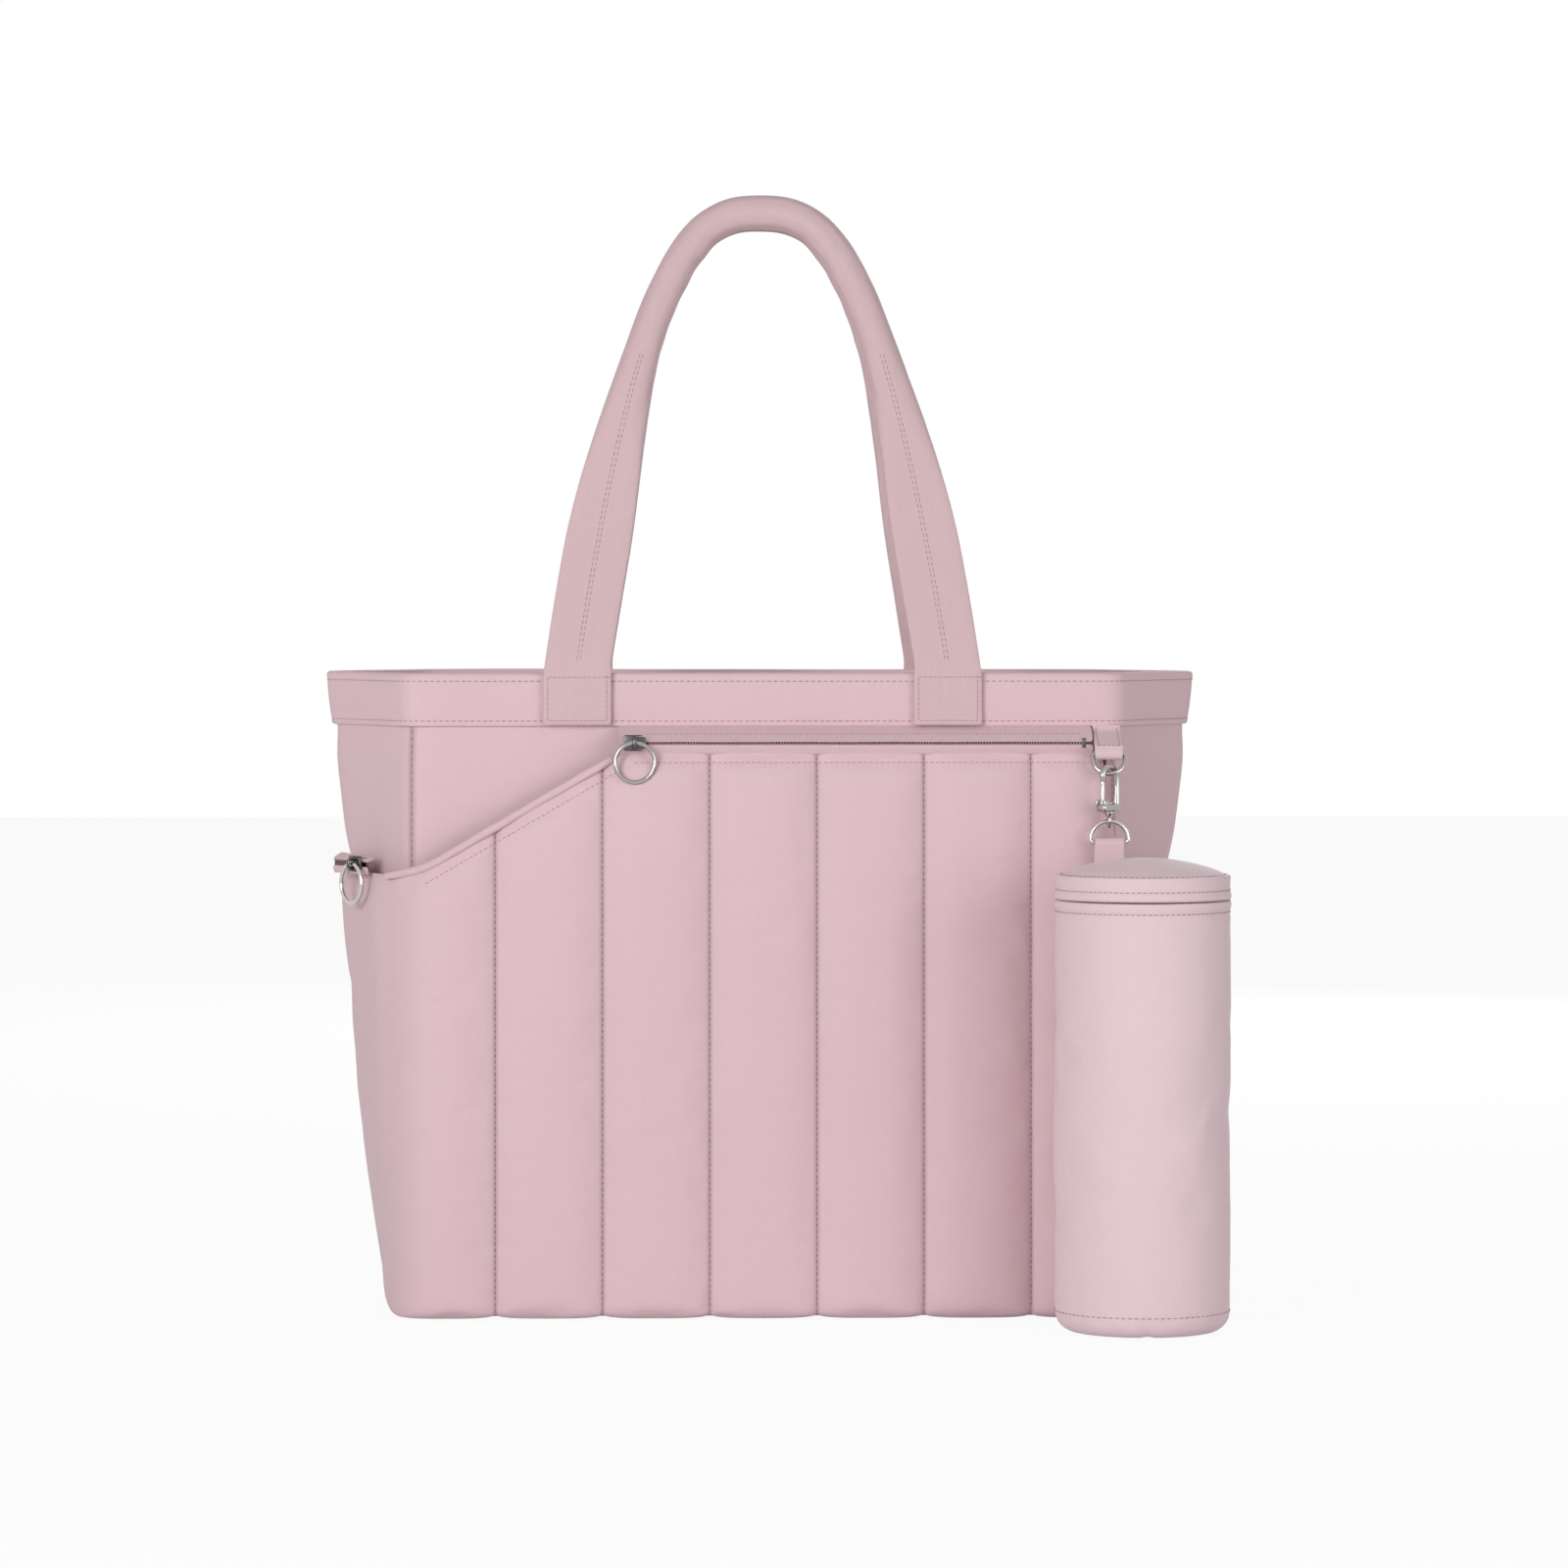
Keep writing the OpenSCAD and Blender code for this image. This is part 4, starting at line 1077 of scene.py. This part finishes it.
def d_path(arc, straight, turn=0.0, up=False):
    """The line of a D-ring: a bar along X, two short legs and an arc."""
    pts = [(-arc + 1.2, 0), (arc - 1.2, 0), (arc, -1.2)]
    for k in range(33):
        t = math.pi * k / 32
        pts.append((arc * math.cos(t), -straight - arc * math.sin(t)))
    pts.append((-arc, -1.2))
    out = []
    for x, z in pts:
        z = -z if up else z
        out.append((x, z * math.sin(turn), z * math.cos(turn)))
    return out


def webbing(name, path, width, wall, body, node):
    """A tab of webbing: a strip that follows a path in the YZ plane."""
    across = np.linspace(-0.5, 0.5, 15)
    rows = []
    for y, z in even(bent(path, 8, 2.2), 60):
        rows.append([(CLIP_X + a * width + 0.12 * math.sin(z * 0.9) * abs(a), y, z) for a in across])
    tab = net(name, rows)
    thicken(tab, wall, 0.0)
    bevel(tab, 0.35, 2)
    edit_all(tab, lambda: bpy.ops.mesh.normals_make_consistent(inside=False))
    return finish(tab, "web", body, (node,), 50)


def ring_loop(y, z, r, a0, a1, n=12):
    """Points round a bar at (y, z), from one angle to another in degrees."""
    turns = [math.radians(a0 + (a1 - a0) * k / n) for k in range(n + 1)]
    return [(y + r * math.cos(t), z + r * math.sin(t)) for t in turns]


def make_clip():
    front = -half_d(311)
    loop = ring_loop(BAR_Y, BAR_Z, 2.35, 120, 395)
    path = [(front - 0.6, 313.0), (front - 2.6, 309.6), (BAR_Y - 3.0, BAR_Z + 3.8), *loop,
            (BAR_Y + 3.3, BAR_Z + 4.2), (front - 1.8, 308.0)]
    tab = webbing("clip_webbing", path, 14.6, 1.2, "bag", "clip_tab")
    lines = [[(CLIP_X + dx, z) for z in np.linspace(302.5, 311.5, 12)] for dx in (-5.6, 5.6)]
    lines.append([(CLIP_X + dx, 303) for dx in np.linspace(-5.6, 5.6, 16)])
    for line in lines:
        sew_front("bag", tab, line, pitch=2.4, length=1.8, width=0.5, thread="thread_dark")
    turn = math.radians(30)
    pts = [(CLIP_X + x, BAR_Y + y, BAR_Z + z) for x, y, z in d_path(8.6, 3, turn)]
    ring = wire("tab_d_ring", pts, 1.25, closed=True, sides=14)
    finish(ring, "ring", "d_ring", ("d_ring",), 80)
    pts = [(CLIP_X + x, HOOK_Y + y, LOW_BAR + z) for x, y, z in d_path(9.9, 1.5, 0, True)]
    ring = wire("pouch_ring", pts, 1.1, closed=True, sides=14)
    finish(ring, "bright", "lower_ring", ("lower_ring",), 80)
    hook = [(5.5, 0, 270.4), (5.6, 0, 274), (5.9, 0, 280), (5.75, 0, ARC_Z)]
    for k in range(1, 17):
        t = math.pi * k / 16
        hook.append((HOOK_ARC * math.cos(t), 0, ARC_Z + HOOK_ARC * math.sin(t)))
    hook.append((-5.5, 0, ARC_Z - 1.8))
    radii = [1.5, 1.25, 1.05] + [1.0] * (len(hook) - 5) + [0.9, 0.72]
    parts = [wire("hook_rod", hook, 1.6, radii=radii, sides=14)]
    parts.append(block("hook_saddle", (14.6, 6.6, 4.0), (0, 0, 270.2), 1.5, 1.0, 5))
    for s in (-1, 1):
        parts.append(block("hook_lug", (3.8, 1.3, 3.4), (-HOOK_ARC, s * 2.7, BASE_TOP + 0.4), 0.6, 1.0, 4))
    profile = [(0.01, 268.3), (3.0, 268.3), (3.3, 268.0), (3.3, 267.4), (2.8, 267.1), (0.01, 267.1)]
    parts.append(lathe("hook_collar", profile, 40))
    body = merged("snap_hook_casting", parts)
    placed(body, HOOK_AXES, (CLIP_X, HOOK_Y, 0))
    finish(body, "ring", "snap_hook", ("snap_hook_body",), 50)
    lever = [(-HOOK_ARC, 0, PIVOT_Z - 0.6), (-HOOK_ARC - 0.1, 0, PIVOT_Z + 4),
             (-HOOK_ARC + 0.1, 0, PIVOT_Z + 8), (-HOOK_ARC, 0, ARC_Z - 2.5)]
    gate = wire("gate_lever", even(bent(lever, 6, 3), 24), 1.05, radii=[1.2] + [1.0] * 22 + [0.9], sides=12)
    profile = [(0.01, -1.25), (1.3, -1.25), (1.45, -1.0), (1.45, 1.0), (1.3, 1.25), (0.01, 1.25)]
    eye = lathe("gate_knuckle", profile, 32)
    placed(eye, ((1, 0, 0), (0, 0, -1), (0, 1, 0)), (-HOOK_ARC, 0, PIVOT_Z))
    gate = merged("hook_gate_lever", [gate, eye])
    placed(gate, HOOK_AXES, (CLIP_X, HOOK_Y, 0))
    finish(gate, "bright", "gate", ("hook_gate",), 60)
    turns = np.linspace(0, 2 * math.pi, 49)[:-1]
    circle = [(0, 2.9 * math.cos(t), 2.9 * math.sin(t) + EYE_Z) for t in turns]
    loop = wire("eye_loop", circle, 1.1, closed=True, sides=12)
    profile = [(0.01, 265.6), (1.9, 265.7), (2.3, 266.1), (2.2, 266.8), (1.3, 267.3), (1.3, 272.3),
               (2.0, 272.5), (2.0, 273.1), (1.5, 273.4), (0.01, 273.45)]
    post = lathe("eye_post", profile, 40)
    swivel = merged("swivel_loop", [loop, post])
    placed(swivel, ((1, 0, 0), (0, 1, 0), (0, 0, 1)), (CLIP_X, HOOK_Y, 0))
    finish(swivel, "ring", "swivel", ("swivel_eye",), 60)


# ---- The pouch ----
POUCH = (196.0, -144.1, 0.0)
POUCH_R = 45.5
ZIP_Z = 224.5


def swell_about_z(p, push):
    """Moves a point out from the Z axis by push."""
    r = math.hypot(p[0], p[1])
    p[0] *= 1 + push / r
    p[1] *= 1 + push / r


def pouch_dents(strength, low, high):
    """Soft dents in an insulated wall, none at its sewn ends."""
    def bend(pts):
        out = pts.copy()
        for row in out:
            height = (row[0][2] - low) / (high - low)
            free = math.sin(math.pi * height) ** 0.5 if 0 < height < 1 else 0
            for p in row:
                if math.hypot(p[0], p[1]) >= 1:
                    dent = ripple(p, 46, 8.3) + 0.4 * ripple((p[0], p[1], p[2] * 0.4), 20, 1.9)
                    swell_about_z(p, free * strength * dent)
        return out
    return bend


def pouch_outline():
    pts = [(0.01, 0.9), (12, 0.8), (24, 0.5), (30, 0.3), (34, 0.25)]
    for k in range(1, 9):
        t = math.pi / 2 * k / 8
        pts.append((35.2 + 10 * math.sin(t), 10.2 - 10 * math.cos(t)))
    for z in np.linspace(14, 208, 44):
        pts.append((45.2 + 0.3 * math.sin(math.pi * z / 215), z))
    return pts + [(45.3, 212), (45.5, 215.5), (45.2, 217.6), (44.9, 218.6), (45.4, 219.6), (45.9, 221.4),
                  (45.9, 222.9), (45.6, 223.8), (44.9, 224.2), (43.2, 224.0), (41.6, 223.0)]


def sew_round(body, r, z, pitch):
    """A row of stitches round the pouch."""
    turn = np.linspace(0, 2 * math.pi, 150)
    stitch_line(body, [(POUCH[0] + r * math.cos(a), POUCH[1] + r * math.sin(a), z) for a in turn], pitch=pitch)


def make_pouch():
    shell = lathe("pouch_wall", pouch_outline(), 96, (0, 0, 0), pouch_dents(0.7, 8, 212))
    co = read_points(shell) / MM
    hold = np.array([1.0 if (z < 12 or z > 208) else 0.0 for z in co[:, 2]])
    puff(shell, hold, pressure=6, cap=0.7, slack=0.004)
    co = read_points(shell) / MM
    for p in co:
        a = math.atan2(p[1], p[0])
        if p[2] < 14 and math.hypot(p[0], p[1]) > 20:
            front_seam = math.exp(-(((a + math.pi / 2) / 0.05) ** 2))
            pinch = 0.9 * front_seam + 0.25 * math.sin(a * 17) * math.exp(-((p[2] - 9) / 5) ** 2)
            swell_about_z(p, -pinch)
            p[2] += 0.8 * front_seam
    write_points(shell, (co + np.array(POUCH)) * MM)
    round_off(shell)
    run_modifier(shell, "SOLIDIFY", thickness=0.9 * MM, offset=-1)
    finish(shell, "pouch", "pouch", ("pouch_shell",), 60)
    sew_round("pouch", 45.35, 218.5, 3.0)
    sew_round("pouch", 45.6, 11.2, 3.4)
    inner = [(0.01, 6.4), (20, 6.4), (34, 6.5), (39, 7.2), (40.9, 9.5), (41.1, 14)]
    inner += [(41.1, z) for z in np.linspace(24, 214, 16)] + [(41.2, 221), (41.5, 222.4)]
    lining = lathe("pouch_lining_cup", inner, 72, (0, 0, 0), pouch_dents(0.35, 8, 218))
    write_points(lining, read_points(lining) + np.array(POUCH) * MM)
    edit_all(lining, lambda: bpy.ops.mesh.flip_normals())
    run_modifier(lining, "SOLIDIFY", thickness=0.6 * MM, offset=-1)
    finish(lining, "lining", "pouch", ("pouch_lining", "pouch_insulation", "pouch_base_disc"), 60)


def lid_outline():
    return [(0.01, 245.9), (6, 245.85), (12, 245.5), (20, 244.5), (28, 243.0), (35, 241.0), (40, 239.0),
            (42.6, 237.6), (43.6, 237.2), (44.5, 237.5), (45.2, 237.1), (45.6, 236.2), (45.4, 235.0),
            (45.2, 232.4), (45.3, 230.6), (44.95, 229.7), (45.4, 228.8), (45.9, 227.6), (45.9, 226.1),
            (45.6, 225.2), (44.9, 224.8), (43.2, 225.0), (40, 225.6), (30, 226.2), (18, 226.3),
            (8, 226.3), (0.01, 226.3)]


def make_lid():
    def settle(pts):
        out = pts.copy()
        for row in out:
            for p in row:
                r = math.hypot(p[0], p[1])
                if p[2] > 236:
                    p[2] += 0.5 * ripple((p[0], p[1], 0), 22, 3.3) * (1 - (r / 45.5) ** 4)
        return out
    lid = lathe("pouch_lid_pad", lid_outline(), 96, POUCH, settle)
    round_off(lid)
    finish(lid, "pouch", "pouch_lid", ("pouch_lid", "lid_foam"), 60)
    sew_round("pouch_lid", 45.3, 229.8, 3.0)
    sew_round("pouch_lid", 42.9, 237.6, 3.0)


def make_pouch_zip():
    turn = np.linspace(0, 2 * math.pi, 200)
    for z, body, node in ((223.75, "pouch", "pouch_lower_coil"), (225.25, "pouch_lid", "pouch_upper_coil")):
        row = [(POUCH[0] + 44.7 * math.cos(a), POUCH[1] + 44.7 * math.sin(a), z) for a in turn]
        coil_teeth(node + "_links", [row], "coil", body, (node,), (0.95, 1.7, 1.5))
    az = math.radians(60)
    axes = ((-math.sin(az), math.cos(az), 0), (0, 0, 1), (math.cos(az), math.sin(az), 0))
    at = (POUCH[0] + 47.35 * math.cos(az), POUCH[1] + 47.35 * math.sin(az), ZIP_Z)
    slider = [block("small_plate", (7.8, 5.8, 0.95), (0, 0, 0.45), 0.35, 0.75)]
    for s in (-1, 1):
        slider.append(block("small_lug", (1.0, 1.6, 1.7), (s * 1.75, 0, 1.6), 0.3))
    piece = merged("pouch_slider_casting", slider)
    placed(piece, axes, at)
    finish(piece, "gunmetal", "pouch_slider", ("pouch_zip_slider",))
    blade = block("pull_blade", (1.9, 7.6, 0.8), (0, -6.9, 1.75), 0.35)
    neck = block("pull_neck", (1.5, 4.0, 0.7), (0, -1.6, 1.75), 0.3)
    pin = wire("pull_pin", [(-0.95, 0, 1.75), (0.95, 0, 1.75)], 0.45, sides=10)
    piece = merged("pouch_pull_tag", [blade, neck, pin])
    placed(piece, axes, at)
    finish(piece, "gunmetal", "pouch_pull", ("pouch_zip_pull",))


def make_pouch_tab():
    reach = math.sqrt(POUCH_R ** 2 - 14 ** 2)
    wall = POUCH[1] + reach
    path = [(wall + 0.9, 193), (wall + 1.2, 203), (wall + 4.6, 209), (wall + 7.6, 214), (wall + 7.8, 233),
            (HOOK_Y + 3.4, LOW_BAR - 5), (HOOK_Y + 2.2, LOW_BAR - 1.2), *ring_loop(HOOK_Y, LOW_BAR, 2.25, 0, 200),
            (HOOK_Y - 1.6, LOW_BAR - 3.4), (wall + 6.2, 236), (wall + 6.4, 226)]
    webbing("pouch_webbing", path, 15.4, 1.1, "pouch", "pouch_tab")


# ---- Light, floor and backdrop ----
def set_stage():
    world = bpy.data.worlds.new("soft_room")
    scene.world = world
    world.use_nodes = True
    tree = world.node_tree
    back = tree.nodes["Background"]
    back.inputs["Color"].default_value = (1, 1, 1, 1)
    rays = add(tree, "ShaderNodeLightPath")
    seen = math_node(tree, "MAXIMUM", rays.outputs["Is Camera Ray"], rays.outputs["Is Glossy Ray"])
    seen = math_node(tree, "MAXIMUM", seen, rays.outputs["Is Transmission Ray"])
    strength = plus(tree, times(tree, seen, 1 - AMBIENT), AMBIENT)
    tree.links.new(strength, back.inputs["Strength"])
    deselect()
    bpy.ops.mesh.primitive_plane_add(size=14, location=(0, 0, -0.0006))
    floor = bpy.context.object
    floor.name = "floor"
    mat = bpy.data.materials.new("pale_floor")
    mat.use_nodes = True
    tree = mat.node_tree
    tree.nodes.clear()
    out = add(tree, "ShaderNodeOutputMaterial")
    matt = add(tree, "ShaderNodeBsdfDiffuse")
    matt.inputs["Color"].default_value = (0.9, 0.9, 0.9, 1)
    glow = add(tree, "ShaderNodeEmission")
    rays = add(tree, "ShaderNodeLightPath")
    share = add(tree, "ShaderNodeMixShader")
    lit = math_node(tree, "MAXIMUM", rays.outputs["Is Camera Ray"], rays.outputs["Is Glossy Ray"])
    tree.links.new(times(tree, lit, 0.93), share.inputs[0])
    tree.links.new(matt.outputs[0], share.inputs[1])
    tree.links.new(glow.outputs[0], share.inputs[2])
    tree.links.new(share.outputs[0], out.inputs["Surface"])
    floor.data.materials.append(mat)
    for name, at, aim, size, power in LAMPS:
        data = bpy.data.lights.new(name, "AREA")
        data.shape = "RECTANGLE"
        data.size, data.size_y = size
        data.energy = power
        lamp = bpy.data.objects.new(name, data)
        scene.collection.objects.link(lamp)
        lamp.location = at
        lamp.rotation_euler = (Vector(aim) - Vector(at)).to_track_quat("-Z", "Y").to_euler()


AMBIENT = 0.31
LAMPS = [
    ("key_softbox", (-1.6, -2.6, 0.95), (0, 0, 0.25), (1.5, 1.5), 51),
    ("fill_softbox", (1.9, -2.1, 0.7), (0, 0, 0.25), (1.4, 1.4), 20),
    ("rim_softbox", (0.6, 2.4, 1.0), (0, 0, 0.25), (1.4, 1.2), 26),
]


def finish_cad_nodes():
    """The CAD nodes that stay in view or inside take their own finish."""
    kept = {"gate_pin": "bright", "gate_spring": "bright"}
    for name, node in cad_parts.items():
        if not node.hide_render:
            node.data.materials.clear()
            node.data.materials.append(FINISH[kept.get(name, "gunmetal")])


set_camera()
make_shell()
make_lining()
make_band()
make_quilt()
make_pocket_lining()
make_pocket_end()
make_lip()
make_front_zip()
front_slider_at = on_front(SLIDER_X, COIL_V, COIL_W)
make_slider("front_slider_casting", FRONT_AXES, front_slider_at, "front_slider", "front_zip_slider")
make_ring("front_pull_ring", FRONT_AXES, front_slider_at, "front_ring", "front_ring_pull")
make_side_zip()
side_axes, side_slider_at = (SIDE_X, SIDE_Y, SIDE_Z), on_side(23.5, 0, 0)
make_slider("side_slider_casting", side_axes, side_slider_at, "side_slider", "side_zip_slider")
make_ring("side_pull_ring", side_axes, side_slider_at, "side_ring", "side_ring_pull", "bright")
make_handle("front_carry_handle")
make_handle("rear_carry_handle", back=True)
make_snaps()
make_clip()
make_pouch()
make_lid()
make_pouch_zip()
make_pouch_tab()
finish_stitches()
finish_cad_nodes()
set_stage()
